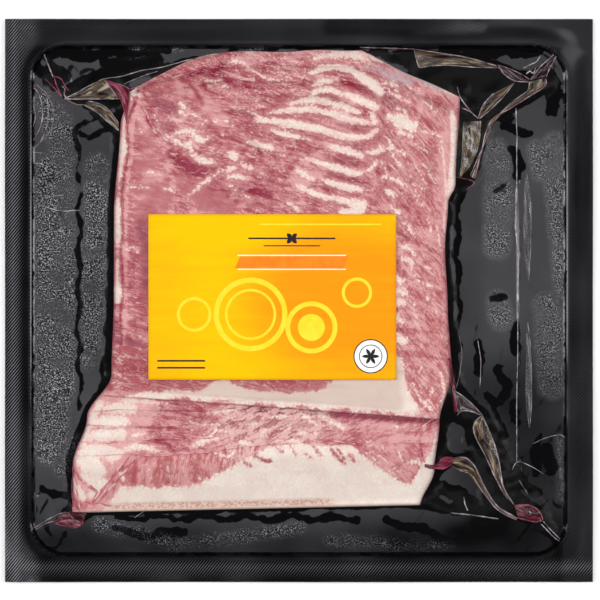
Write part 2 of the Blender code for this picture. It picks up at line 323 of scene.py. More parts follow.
# %% Fat of the upper bunch
UPPER_FAT = (
    # the seam through the middle, slice by slice
    ((311, 74, 2), (320, 69, 3.5), (335, 67, 3), (350, 70, 3.5), (362, 77, 4.5), (374, 86, 5.5),
     (380, 93, 4)),
    ((313, 86, 2), (322, 82, 3.5), (332, 82, 2)),
    ((310, 97, 1.5), (318, 91, 3.5), (330, 90, 3.5), (343, 95, 2)),
    ((346, 95, 2.5), (356, 99, 4), (366, 103, 4.5), (377, 109, 3.5)),
    ((288, 105, 1), (305, 101, 3), (320, 101, 3.5), (340, 106, 3.5), (358, 113, 2.5)),
    ((270, 114, 1.5), (290, 111, 3), (312, 110, 3.5), (335, 115, 3.5), (352, 121, 3.5), (368, 123, 2.5)),
    ((371, 113, 2.5), (374, 122, 3.5)),
    ((257, 121, 2), (275, 122, 3.5), (300, 126, 4), (320, 130, 4), (338, 136, 3.5), (354, 138, 3.5),
     (368, 137, 3), (377, 130, 2)),
    ((272, 131, 1.5), (282, 134, 3.2), (295, 137, 2.5), (311, 141, 1)),
    ((327, 145, 1.5), (337, 149, 3.5), (348, 152, 4), (361, 156, 3)),
    ((366, 153, 1.5), (374, 153, 2.5), (381, 150, 2)),
    ((248, 142, 2), (258, 145, 3.5), (270, 148, 2.6), (279, 151, 1)),
    ((306, 159, 1.5), (318, 163, 2.5), (332, 167, 3.6), (348, 172, 3.6), (359, 174, 3)),
    ((362, 172, 1.2), (371, 169, 2), (377, 162, 1.6)),
    ((297, 171, 2), (304, 175, 3), (313, 180, 1.6)),
    ((322, 180, 1.6), (334, 184, 3.2), (348, 188, 3.8), (361, 190, 3)),
    ((296, 185, 1.5), (308, 191, 2.6), (322, 197, 2.6), (336, 199, 2.6), (350, 203, 3.6), (362, 206, 4.5)),
    ((342, 212, 3.5), (356, 213, 6.5), (364, 203, 3.5)), ((288, 203, 1.5), (299, 211, 2)),
    # lumps and crumbs on the left
    ((182, 104, 2.8), (187, 108, 2)), ((188, 113, 1.6), (199, 118, 1.4)),
    ((181, 112, 1.2), (190, 116, 1.2)),
    ((203, 124, 1.3), (206, 121, 1.2)), ((178, 133, 2), (188, 131, 2.4), (195, 134, 1.2)),
    ((176, 143, 1.3), (186, 146, 2), (192, 143, 1.2)), ((153, 131, 1.2), (162, 134, 1.8), (172, 138, 1.4)),
    ((172, 138, 1.4), (180, 144, 1.8), (190, 149, 1.3)), ((195, 137, 2.6), (203, 142, 3), (208, 139, 1.2)),
    ((191, 153, 1), (197, 158, 2), (205, 162, 2.3), (214, 164, 2)), ((232, 156, 4.2), (236, 158, 4)),
    ((240, 163, 1.6), (250, 170, 1.8)), ((218, 173, 2), (228, 171, 3), (236, 168, 1.5)),
    ((230, 177, 2.4), (240, 177, 3), (246, 180, 1.5)), ((215, 175, 1.4), (207, 181, 2), (196, 190, 1.6)),
    ((196, 190, 1.6), (185, 199, 1.1)), ((228, 184, 0.8), (236, 190, 1.5), (232, 198, 1.3)),
    ((238, 186, 0.8), (246, 195, 1), (252, 201, 0.6)), ((215, 122, 1.4), (224, 121, 1.8), (232, 126, 1.4)),
    ((145, 173, 0.7), (154, 173, 1.2), (161, 175, 0.8)),
    ((128, 187, 0.8), (138, 188, 0.9), (153, 190, 0.5)),
    ((163, 189, 0.8), (170, 190, 1), (174, 192, 0.8)), ((137, 115, 1.2), (139, 120, 1.2)),
    ((141, 130, 0.8), (143, 134, 0.8)), ((146, 151, 0.8), (150, 152, 0.8)),
    ((154, 116, 1.6), (157, 121, 1.8)),
    ((203, 80, 1.2), (213, 82, 1.5), (222, 80, 1.1)), ((219, 86, 1.2), (228, 88, 1.5)),
    ((208, 86, 1), (212, 87, 1)),
    ((233, 60, 2), (243, 63, 2.4)), ((246, 67, 1.2), (256, 73, 1.3)),
    ((256, 73, 1.3), (270, 80, 1), (286, 81, 0.8)),
    ((228, 92, 0.6), (243, 97, 0.6), (258, 102, 0.6)), ((232, 107, 0.6), (243, 110, 0.8), (262, 118, 0.5)),
    ((240, 163, 0.7), (252, 168, 0.9), (262, 174, 0.6)), ((132, 92, 2.6), (141, 96, 1.6)),
    # the island, the web of seams and the thick rim on the right
    ((383, 84, 1.6), (390, 82, 2.2), (398, 87, 2.4), (396, 92, 1.2)), ((398, 108, 2.2), (404, 111, 2.4)),
    ((389, 118, 4), (400, 122, 7.5), (412, 127, 6)), ((400, 133, 2.4), (410, 136, 1.6)),
    ((380, 146, 0.8), (394, 149, 1), (407, 156, 0.8)), ((384, 177, 1.8), (395, 180, 2.2), (408, 186, 1)),
    ((396, 160, 0.8), (402, 167, 1.2), (409, 171, 0.8)),
    ((408, 172, 0.6), (417, 182, 0.8), (425, 191, 0.6)),
    ((387, 191, 2.2), (394, 196, 2.6)), ((411, 189, 0.8), (416, 198, 1.1), (421, 206, 0.8)),
    ((390, 206, 1.8), (398, 213, 1.8)), ((419, 161, 0.8), (427, 169, 0.7)),
    ((421, 131, 0.9), (430, 133, 1.2), (441, 137, 1.1)),
    ((441, 142, 0.9), (444, 165, 1), (446, 190, 1.1), (445, 213, 1.1)),
    ((452, 112, 2.6), (454, 130, 3.8), (454, 160, 4.2), (451, 190, 4.0), (448, 206, 3.0)),
    ((383, 136, 0.5), (390, 141, 0.8), (392, 147, 0.5)),
    ((406, 141, 0.5), (419, 147, 0.8), (430, 154, 0.9), (437, 156, 0.5)),
    ((389, 149, 0.5), (394, 157, 0.8), (399, 166, 0.6)),
    ((381, 161, 0.6), (384, 168, 0.9), (387, 175, 1.0)),
    ((412, 154, 0.4), (415, 165, 0.7), (422, 175, 0.7), (427, 188, 0.4)),
    ((421, 161, 0.4), (430, 175, 0.8), (435, 182, 0.5)),
    ((413, 184, 0.5), (417, 195, 0.8)), ((396, 218, 0.5), (408, 226, 0.8), (414, 236, 0.5)),
    ((424, 214, 0.5), (430, 224, 0.8), (431, 234, 0.5)),
    ((412, 276, 0.5), (420, 282, 0.8), (432, 286, 0.6)),
    ((424, 296, 0.4), (433, 304, 0.8), (438, 316, 0.5)),
    # the torn corner of the first slices
    ((421, 81, 0.6), (432, 86, 1.3), (446, 91, 1.5), (456, 96, 1.0)),
    ((370, 57, 2), (380, 61, 1.6), (392, 64, 0.8)),
    ((386, 88, 0.7), (394, 95, 1.1), (403, 99, 0.7)), ((404, 80, 0.6), (410, 88, 0.9), (420, 93, 0.7)),
    ((421, 101, 0.5), (430, 106, 0.8), (437, 113, 0.6)), ((404, 99, 0.6), (409, 104, 0.8)),
    # beside the label
    ((401, 247, 2.2), (409, 249, 2.4), (415, 256, 1.2)),
    ((402, 259, 2.4), (411, 260, 2.8), (413, 267, 1.2)),
    ((418, 262, 1), (424, 266, 1.2), (430, 269, 0.8)), ((394, 277, 3.6), (401, 281, 3)),
    ((394, 289, 4), (404, 293, 3.4)), ((394, 301, 4.5), (405, 303, 3.2)), ((394, 317, 4), (401, 320, 3.2)),
    ((394, 337, 5), (403, 340, 4.2)), ((406, 299, 0.9), (413, 304, 1.2)), ((410, 310, 0.8), (417, 317, 1)),
    ((436, 225, 0.8), (440, 246, 0.8)), ((444, 215, 1.6), (446, 245, 1.4), (447, 262, 0.7)),
    ((142, 337, 1.2), (150, 338, 2)), ((143, 368, 1.2), (152, 369, 2)),
    ((114, 351, 1.2), (124, 349, 1.8), (131, 354, 1)),
    ((124, 252, 0.8), (133, 247, 1.2), (138, 251, 0.8)),
)
UPPER_HEAD = (((314, 58, 4), (332, 54, 6), (354, 54, 7), (370, 60, 5)),)
UPPER_FRONT_LINE = (
    (100, 400), (126, 396), (140, 391), (174, 389.5), (196, 391), (209, 386), (214, 380), (226, 378),
    (240, 386), (256, 390), (290, 391.5), (318, 390), (330, 383), (340, 372), (346, 340), (470, 340),
)
UPPER_FRONT_SIDE = ((330, 400), (372, 404), (386, 408), (396, 412), (404, 418), (420, 420))

# %% Reds of the upper bunch
DEEP_RED = (
    ((224, 62, 2.5), (215, 72, 3), (205, 84, 2.5)), ((232, 111, 1.2), (247, 113, 1.6)),
    ((205, 69, 2), (222, 77, 3), (234, 84, 2)),
    ((186, 76, 1), (202, 72, 2)),
    ((172, 153, 3), (180, 162, 6), (192, 170, 6), (204, 173, 3)),
    ((148, 118, 0.7), (152, 127, 0.9), (158, 136, 0.7)),
    ((188, 82, 0.7), (196, 92, 1), (203, 105, 0.7)), ((252, 144, 2), (262, 152, 2)),
    ((242, 190, 2), (270, 196, 3)),
    ((342, 84, 2), (352, 87, 3), (362, 89, 2)), ((427, 98, 5), (440, 104, 6), (446, 100, 3)),
    ((428, 125, 4), (441, 130, 3)), ((428, 150, 6), (431, 170, 7), (428, 192, 6)),
    ((402, 236, 0.6), (418, 243, 0.9), (433, 249, 0.6)), ((422, 222, 0.8), (434, 228, 0.9)),
    ((396, 350, 1.5), (420, 353, 1.5), (440, 362, 2)), ((128, 338, 0.6), (131, 339, 0.6)),
    ((123, 88, 2.6), (127, 98, 2.2), (124, 107, 1.6)), ((240, 112, 1), (254, 117, 1)),
)
PURPLE = (
    ((156, 102, 3.5), (168, 107, 5), (177, 110, 3)), ((163, 126, 3), (173, 130, 3)),
    ((150, 96, 1.5), (160, 92, 2)),
    ((378, 86, 3), (388, 96, 5), (392, 105, 4)),
    ((326, 98, 1), (345, 103, 2)), ((336, 125, 1), (356, 128, 2)),
    ((345, 145, 1), (362, 147, 2)), ((325, 158, 0.8), (352, 163, 2)), ((330, 175, 1), (360, 181, 2)),
    ((140, 222, 4), (146, 250, 5), (146, 290, 4)), ((120, 340, 3), (140, 346, 3)),
    ((118, 376, 2), (150, 378, 5)),
)
SMOOTH = (
    ((189, 86, 6), (204, 101, 10), (220, 118, 9)), ((140, 108, 6), (142, 132, 9), (150, 152, 10)),
    ((148, 165, 14), (156, 195, 17), (150, 225, 14)), ((455, 120, 10), (448, 160, 8), (446, 210, 6)),
    ((160, 90, 4), (175, 84, 5)), ((184, 184, 8), (205, 198, 12), (226, 208, 11)),
)
# Paler meat. The first two strokes, at the torn corner, are also a painted highlight where the film shines.
PALE = (
    ((420, 86, 5), (446, 92, 5), (455, 98, 4)), ((400, 70, 8), (416, 78, 6)),
    ((443, 120, 5), (442, 160, 5), (445, 210, 5)),
    ((120, 248, 4), (136, 250, 5)), ((116, 294, 4), (128, 296, 3)), ((116, 314, 4), (128, 316, 3)),
    ((240, 58, 5), (290, 52, 5), (320, 50, 4)), ((300, 180, 12), (330, 150, 10), (345, 100, 8)),
    ((188, 84, 5), (204, 101, 9), (221, 119, 9)), ((148, 176, 5), (160, 178, 4)),
    ((140, 112, 5), (147, 128, 4)),
)

# Where the film's whitish sheen is painted on the meat at the torn corner, a painted reflection.
FILM_SHEEN = (
    ((384, 58, 2), (398, 64, 5), (413, 72, 7.5), (426, 80, 3.5), (440, 88, 2)),
    ((366, 66, 1.5), (380, 70, 3), (396, 78, 3.5), (410, 82, 3)),
)
LUMPY_LEFT = (((178, 112, 6), (190, 142, 12), (205, 160, 10)),)
FLECKED_LEFT = (((172, 120, 8), (195, 150, 14), (225, 165, 10)),)
UPPER_FRONT_SEAMS = (
    ((436, 378, 0.8), (430, 396, 1.2), (422, 410, 1)), ((420, 366, 0.7), (428, 384, 0.7)),
    ((412, 383, 0.6), (420, 400, 1.2), (432, 409, 1.4)), ((440, 372, 1.5), (444, 392, 2), (440, 410, 2)),
)


def left_of_line(x, y, line):
    """How far left of a steep line of points in the photograph each place is, in mm."""
    edge = np.interp(MID_PY - y / PX, [point[0] for point in line], [point[1] for point in line])
    return (edge - MID_PX) * PX - x


def upper_marbling(x, y, front):
    """What shows where on an upper slice, as the fields that the material reads."""
    left, right = x - eased(y, LEFT_SIDE), eased(y, RIGHT_SIDE) - x
    seam = rise(x, -30, -18) * (1.0 - rise(x, 36, 42))
    fat = inside_strokes(x, y, UPPER_FAT)
    # Painted shade: the lean just below each fat streak of the seam is made redder and darker.
    under = rise(inside_strokes(x, y + 1.0, UPPER_FAT), 0.0, 0.5) * (1.0 - rise(fat, -0.6, 0.1)) * seam
    fat += 0.20 * rise(x, -26, -16) + 0.7 * zone(x, y, LUMPY_LEFT, 3.0)
    fat = np.maximum(fat, 0.5 * inside_strokes(x, y, UPPER_HEAD) - 0.2)
    # the slices' ends turn down on the left, and their fat caps show as a broken rim
    turned = 1.2 - np.abs(left - 1.7) + 0.9 * np.sin(0.19 * y + 1.0) + 0.5 * np.sin(0.47 * y)
    fat = np.maximum(fat, np.where(np.abs(y - 50.0) < 52.0, turned, -9.0))
    red = 0.36 + (1.05 - 0.65 * rise(x, 8, 20)) * zone(x, y, DEEP_RED, 1.6)
    red += 0.45 * under - 0.34 * zone(x, y, PALE, 2.5)
    red -= 0.08 * rise(x, 38, 48) + (1.0 - rise(x, -72, -60)) * (0.06 - 0.20 * (1.0 - rise(y, 30, 44)))
    red += 0.75 * rise(0.8 - np.abs(left - 3.9 - 0.5 * np.sin(0.21 * y)), 0.0, 0.6)
    red -= 0.35 * rise(1.6 - np.abs(left - 5.8), 0.0, 1.5)
    purple = zone(x, y, PURPLE, 2.0)
    flecks = 0.42 + 0.25 * zone(x, y, FLECKED_LEFT, 5.0) - 0.5 * purple * (x < -50)
    flecks += 0.12 * rise(y, 92, 100) - 0.40 * zone(x, y, SMOOTH, 3.0)
    flecks += 0.12 * rise(x, -36, -24) * (1.0 - rise(x, 0, 12))
    net = 0.9 * rise(x, 36, 44)
    crisp = np.maximum(0.62 * seam, np.maximum(1.0 - rise(left, 3.0, 4.5), 1.0 - rise(right, 6.0, 8.0)))
    if front:
        cap = np.minimum(below_line(x, y, UPPER_FRONT_LINE), left_of_line(x, y, UPPER_FRONT_SIDE))
        # the cap ends in a ragged margin of thin lean, where the slice was cut
        margin = y - upper_rind_edge(UPPER_COUNT - 1, x)
        ragged = margin - 0.9 - 0.6 * np.sin(0.34 * x + 1.0) - 0.45 * np.sin(0.93 * x)
        cap = np.minimum(cap, ragged + 2.5 * (1.0 - rise(x, -74, -50)))
        fat = np.maximum(cap, inside_strokes(x, y, UPPER_FRONT_SEAMS))
        # Painted shade: red stays high over most of this slice, which also darkens its fat band in
        # fat_colour.
        red = 0.76 - 0.44 * rise(x, 44, 52) - 0.25 * (1.0 - rise(x, -86, -76))
        red -= 0.45 * (1.0 - rise(margin, 2.2, 4.0))
        purple = 0.15 * (1.0 - rise(x, 44, 52))
        flecks = 0.46 + 0.14 * rise(x, 46, 54) + 0.2 * (1.0 - rise(x, -86, -76))
        net = np.maximum(net, 0.6)
        crisp = np.full_like(x, 0.3)
    warm = np.maximum(0.5 * front, 0.6 * rise(x, 46, 56) * (1.0 - rise(x, 66, 69)))
    film_sheen = zone(x, y, FILM_SHEEN, 1.6)
    return {"fat": fat, "red": red, "purple": purple, "flecks": flecks, "net": net, "crisp": crisp,
            "film_sheen": film_sheen, "warm": warm}


# %% Lower bunch
LOWER_FAT = (
    # the lobes at the left end of each slice
    ((107, 410, 3), (118, 408, 6), (133, 409, 4)), ((94, 422, 3), (108, 421, 6), (124, 421, 5)),
    ((90, 436, 3), (104, 435, 6), (122, 434, 5)), ((84, 451, 4), (98, 450, 7), (112, 450, 4)),
    ((127, 448, 2), (138, 446, 3.5), (152, 448, 3.5), (159, 451, 2)), ((134, 435, 1.5), (146, 433, 2.4)),
    ((80, 456, 5), (90, 464, 10), (98, 470, 8)), ((84, 476, 4), (92, 482, 5), (104, 470, 3)),
    ((104, 482, 4), (94, 494, 5)),
    ((77, 488, 3), (82, 496, 4)), ((112, 456, 5), (122, 452, 3)),
    ((100, 404, 3), (94, 416, 3), (88, 430, 3), (82, 444, 3)),
    ((124, 400, 2), (150, 402, 2.4), (166, 403, 1.4)),
    # torn crumbs in the middle
    ((207, 413, 1.6), (218, 412, 2.4), (228, 410, 2.6), (240, 407, 2)), ((191, 421, 1.6), (199, 424, 1.2)),
    ((199, 424, 1), (214, 424, 1), (228, 425, 1.2)), ((214, 429, 1.4), (225, 431, 2), (236, 433, 1.2)),
    ((193, 446, 1.4), (202, 441, 3.4), (212, 437, 3.6), (219, 438, 1.6)),
    ((247, 425, 1.4), (255, 423, 2.4)),
    ((255, 423, 2), (263, 425, 1.2)), ((255, 436, 1.6), (264, 432, 3.4), (271, 429, 1.6)),
    ((263, 418, 1.3), (275, 416, 2.4), (290, 417, 1.6)), ((283, 430, 2.6), (292, 424, 1.5)),
    ((298, 412, 2), (308, 418, 2.4), (318, 424, 2)), ((300, 432, 2.4), (312, 434, 2), (322, 430, 1.6)),
    ((276, 440, 2), (290, 440, 2.6), (306, 444, 2)), ((318, 414, 2), (330, 420, 3), (344, 428, 3)),
    ((226, 418, 1), (236, 416, 1.2)), ((240, 441, 2), (252, 444, 2.4)), ((392, 425, 1.2), (397, 426, 2)),
    ((404, 425, 1), (406, 426, 1)), ((365, 441, 1.2), (376, 445, 2.6), (386, 450, 1.4)),
    ((408, 462, 2.2), (417, 460, 2.6), (421, 464, 1.6)), ((398, 453, 0.8), (402, 459, 0.8)),
    ((365, 452, 0.4), (380, 463, 0.5), (393, 474, 0.4)),
    ((372, 451, 0.4), (388, 462, 0.5), (402, 473, 0.4)),
    ((118, 470, 0.8), (124, 478, 1)), ((150, 468, 0.8), (152, 478, 1)), ((168, 463, 0.8), (170, 476, 1)),
    ((188, 460, 1), (194, 470, 1.2), (200, 478, 1)), ((216, 452, 2), (226, 456, 2.4), (234, 452, 2)),
    ((437, 432, 2), (434, 446, 3), (430, 458, 3)),
)
CAP_LINE = (
    (60, 500), (100, 486), (112, 483), (128, 486), (142, 484), (156, 487), (170, 484), (182, 486),
    (196, 484),
    (204, 479), (211, 475), (228, 468), (240, 459), (254, 453), (270, 444), (300, 441), (340, 443),
    (352, 445),
    (359, 451), (375, 463), (394, 476), (403, 483), (411, 481), (418, 470), (424, 458), (440, 440),
)
LOWER_RED = (
    ((96, 443, 0.8), (120, 442, 0.6), (148, 443, 0.8)), ((98, 428, 0.6), (140, 427, 0.8), (190, 429, 0.8)),
    ((158, 440, 3), (170, 444, 2)), ((319, 439, 0.5), (345, 442, 0.8), (366, 445, 0.6)),
    ((331, 449, 1), (338, 458, 1.6), (344, 462, 1)), ((336, 448, 0.8), (345, 459, 1)),
    ((313, 446, 0.8), (321, 454, 1)),
    ((255, 455, 1.2), (263, 459, 1.4), (272, 461, 1)), ((352, 455, 0.8), (355, 461, 0.6)),
    ((417, 416, 0.8), (424, 413, 0.8), (431, 417, 1), (430, 424, 1)), ((420, 442, 1), (421, 455, 0.8)),
    ((258, 430, 0.5), (274, 420, 0.6)), ((270, 437, 0.5), (286, 426, 0.6)),
    ((290, 437, 0.6), (304, 427, 0.6)),
    ((103, 416, 0.5), (150, 415, 0.6)), ((145, 397, 1), (160, 398, 1), (180, 400, 1)),
)
LOWER_PALE = (
    ((92, 410, 12), (118, 404, 16), (146, 414, 12)), ((84, 450, 14), (104, 446, 18), (128, 436, 14)),
    ((80, 478, 12), (96, 494, 12)), ((122, 452, 5), (108, 472, 7), (94, 494, 8)),
)
LOWER_PURPLE = (((222, 404, 3), (250, 408, 5), (282, 414, 5)), ((155, 406, 5), (185, 408, 5)))
FRONT_PALE = (
    ((147, 466, 2.5), (151, 484, 3)), ((183, 470, 4), (187, 486, 4)), ((206, 466, 3), (214, 470, 3)),
)
FRONT_RED = (((136, 462, 3), (133, 480, 3)), ((170, 459, 4), (166, 482, 3)), ((194, 463, 3), (197, 477, 2)))
# where red shows through the fat cap
CAP_NICKS = (
    ((331, 448, 1), (338, 456, 1.6), (344, 462, 1.2)), ((337, 448, 0.8), (345, 458, 1)),
    ((313, 446, 0.8), (321, 454, 1.2)),
    ((253, 454, 1.2), (263, 459, 1.6), (272, 461, 1)), ((349, 453, 0.8), (355, 461, 0.8)),
    ((276, 446, 0.8), (284, 452, 1)),
    ((244, 462, 0.8), (252, 466, 1)), ((304, 452, 0.6), (310, 457, 0.8)),
    ((291, 446, 0.7), (297, 455, 0.8)),
)


def lower_marbling(number, x, y, depth, full, front):
    """The same for a lower slice, of which depth has been seen and full is all there is."""
    left = x - eased(y, LEFT_SIDE)
    past = upper_rind_edge(UPPER_COUNT - 1, x) - y
    light = zone(x, y, LOWER_PALE, 4.0)
    fat = inside_strokes(x, y, LOWER_FAT) + 0.7 * (1.0 - rise(x, -78, -70))
    fat = np.maximum(fat, -0.20 - 3.2 * (1.0 - light))
    lean_rim = 0.15 + 0.25 * np.sin(0.31 * x + 2.0 * number)
    fat = np.minimum(np.minimum(fat, left - 0.2), 2.5 * (depth - lean_rim))
    red = 0.26 + 0.8 * zone(x, y, LOWER_RED, 0.8) - 0.70 * light
    rim_red = 0.30 * (0.6 + 0.4 * np.sin(0.23 * x + number))
    red += rim_red * (1.0 - rise(depth, 0.2, 1.0)) * (1.0 - rise(x, 14, 22))
    # Painted shade: a dark red and purple band just below the upper bunch's edge, where it lies over the
    # lower bunch.
    red += 0.9 * (1.0 - rise(past, 0.9, 3.2)) * rise(x, -6, 8)
    red -= 0.04 * rise(x, -38, -26) * (1.0 - rise(x, 22, 32)) + 0.19 * rise(x, 26, 34)
    purple = 0.9 * (1.0 - rise(past, 1.2, 3.6)) * rise(x, -34, -20)
    purple += 0.28 * rise(x, -36, -26) * (1.0 - rise(x, 8, 24))
    purple += 0.45 * zone(x, y, LOWER_PURPLE, 3.0)
    crumbly = rise(x, -44, -30) * (1.0 - rise(x, 8, 24))
    flecks = 0.40 + 0.48 * crumbly - 0.1 * rise(x, 26, 34) + 0.25 * light
    crisp = 0.55 * (1.0 - rise(x, -66, -54))
    net = 0.5 * crumbly
    rind = skin = warm = np.zeros_like(x)
    if front:
        to_rind = full - depth
        cap = below_line(x, y, CAP_LINE)
        fat = np.maximum(fat, np.minimum(cap, 0.8 * (x + 92.0 - 0.75 * to_rind)))
        fat = np.minimum(fat, 0.3 - 1.3 * inside_strokes(x, y, CAP_NICKS))
        red += 0.08 * rise(x, 28, 34) + 0.65 * zone(x, y, FRONT_RED, 1.6) - 0.6 * zone(x, y, FRONT_PALE, 1.6)
        net = np.maximum(net, 0.7 * rise(x, -92, -84) * (1.0 - rise(x, -42, -34)))
        warm = 0.9 * rise(x, -92, -84) * (1.0 - rise(x, -30, 0)) + 0.25 * rise(x, -10, 10)
        rind = rise(to_rind, 0.6, 1.3) * (1.0 - rise(to_rind, 3.4, 5.0))
        rind *= (1.0 - rise(x, 12.0, 20.0)) * rise(x, -96, -84)
        skin = 1.0 - rise(to_rind, 0.5, 1.2)
        flecks -= 0.25 * rise(cap, 2.0, 6.0)
    return {"fat": fat, "red": red, "purple": purple, "flecks": flecks, "net": net, "crisp": crisp,
            "rind": rind, "skin": skin, "warm": warm}


# %% [markdown]
# ## The slices themselves
#
# Each slice is a closed slab: a grid, extruded, then laid on the slices below it. The part that shows is
# the strip along the lean edge, so the rows are close together there and wide apart under the next slice.
# The front slice of each bunch shows whole and has even rows. A number for the slice's layer goes with
# it, so the fine noise in the material changes from slice to slice, as it does in real meat.

# %% Make all slices
FIELDS = ("fat", "red", "purple", "flecks", "net", "crisp", "rind", "skin", "juice", "film_sheen", "warm")
SLICE_COLUMNS = 216
FRONT_ROWS, STRIP_ROWS = (38, 1.1), (22, 1.8)  # how many rows, and how crowded at the lean edge
SLICE_STEP, BUNCH_STEP = 0.5, 60.0  # how far apart in the noise two slices lie, and the two bunches


def make_slice(place):
    """One slice of the stack, counted in the order that they were laid."""
    bunch, lean_edge, rind_edge, number = SLICES[place]
    front = number == (UPPER_COUNT if bunch == "upper" else LOWER_COUNT) - 1
    rows, crowd = FRONT_ROWS if front else STRIP_ROWS
    fat_strokes = UPPER_FAT if bunch == "upper" else LOWER_FAT

    def lay(u, v, level):
        x = -90.0 + 160.0 * u
        for _ in range(4):  # the sides lean, so x depends on y and y on x, and a few rounds find both
            lean, rind = lean_edge(number, x), rind_edge(number, x)
            y = lean + (rind - lean) * v**crowd
            low, high = eased(y, LEFT_SIDE), eased(y, RIGHT_SIDE)
            x = low + (high - low) * u
        lean, rind = lean_edge(number, x), rind_edge(number, x)
        y = lean + (rind - lean) * v**crowd
        depth, full = lean - y, lean - rind
        below = lying_below(place, x, y)
        nose = np.sqrt(1.0 - (1.0 - np.clip(depth / 0.4 + 0.4, 0.0, 1.0)) ** 2)
        if front:
            tail = np.sqrt(1.0 - (1.0 - np.clip((full - depth) / 0.9 + 0.12, 0.0, 1.0)) ** 2)
        else:
            tail = 0.5 + 0.5 * np.clip((full - depth) / (0.5 * SLICE_PITCH), 0.0, 1.0)
        top = below + SLICE_THICKNESS * pressed(depth) * nose * tail
        if not front:  # the cold fat is firm and stands a little proud of the lean
            top += 0.15 * rise(inside_strokes(x, y, fat_strokes), -0.2, 0.9) * nose
        z = np.where(level > 0.5, top, below + 0.02) + swell(x, y, top)
        lay.kept = (depth, full)
        return x, y, SEAT_Z + z * side_factor(x, y)

    mesh, x, y, _ = lay_sheet(f"slice_{bunch}_{number:02d}", SLICE_COLUMNS, rows, lay, thick=True)
    if bunch == "upper":
        fields = upper_marbling(x, y, front)
    else:
        fields = lower_marbling(number, x, y, *lay.kept, front)
    edge = np.minimum(x - eased(y, LEFT_SIDE), eased(y, RIGHT_SIDE) - x)
    fields["juice"] = 1.0 - rise(edge, 0.2, 1.2)
    fields["fat"] = np.clip(fields["fat"], -4.0, 3.0)
    for name in FIELDS:
        write_field(mesh, name, fields.get(name, np.zeros_like(x)))
    cut = SLICE_STEP * number + BUNCH_STEP * (bunch == "lower")
    write_grain(mesh, x, y, cut, bunch, front)
    return add_piece(mesh, "sealed_slices")


def write_grain(mesh, x, y, cut, bunch, front):
    """Stores where each point lies, turned along the muscle's grain, in metres."""
    if bunch == "upper":
        turn = np.where(x + 1.6 * np.sin(0.45 * y) > 37.0, -50.0, -17.0)
    elif front:  # across the whole section the fibres run from lean to rind
        turn = np.where(x > 22.0, -42.0, 78.0)
    else:
        turn = np.where(x + 2.0 * np.sin(0.4 * y) > -44.0, 24.0, -12.0)
    c, s = np.cos(np.radians(turn)), np.sin(np.radians(turn))
    grain = mesh.attributes.new("grain", "FLOAT_VECTOR", "POINT")
    places = np.column_stack((x * c + y * s, y * c - x * s, np.full_like(x, cut))) * MM
    grain.data.foreach_set("vector", places.astype(np.float32).ravel())


slices = [make_slice(place) for place in range(len(SLICES))]
print("slices made:", len(slices), "triangles:", sum(2 * len(piece.data.polygons) for piece in slices))

# %% [markdown]
# ## Clear film
#
# The vacuum presses the film onto the meat, and beyond the meat's edge it sweeps down to the black sheet.
# We find its shape as a stretched skin: every point of a grid moves to the mean of its four neighbours,
# less a little for the air's pressure, but never below the meat, the folds or the sheet. Where the
# pressure is set lower, near the corners, the skin stands off in wide tents. Where it comes down on the
# black sheet it is welded to it, and that part of the grid is taken out.

# %% Routes through points of the photograph
def route_of(points, count):
    """Even stations along a smooth curve through the points. Each point may carry more numbers."""
    points = np.array(points, float)
    ends = np.vstack([2 * points[0] - points[1], points, 2 * points[-1] - points[-2]])
    stations = []
    for place in np.linspace(0.0, len(points) - 1.0, count):
        i = min(int(place), len(points) - 2)
        t = place - i
        a, b, c, d = ends[i : i + 4]
        bend = 2 * b + (c - a) * t + (2 * a - 5 * b + 4 * c - d) * t**2
        stations.append(0.5 * (bend + (3 * b - a - 3 * c + d) * t**3))
    return np.array(stations)


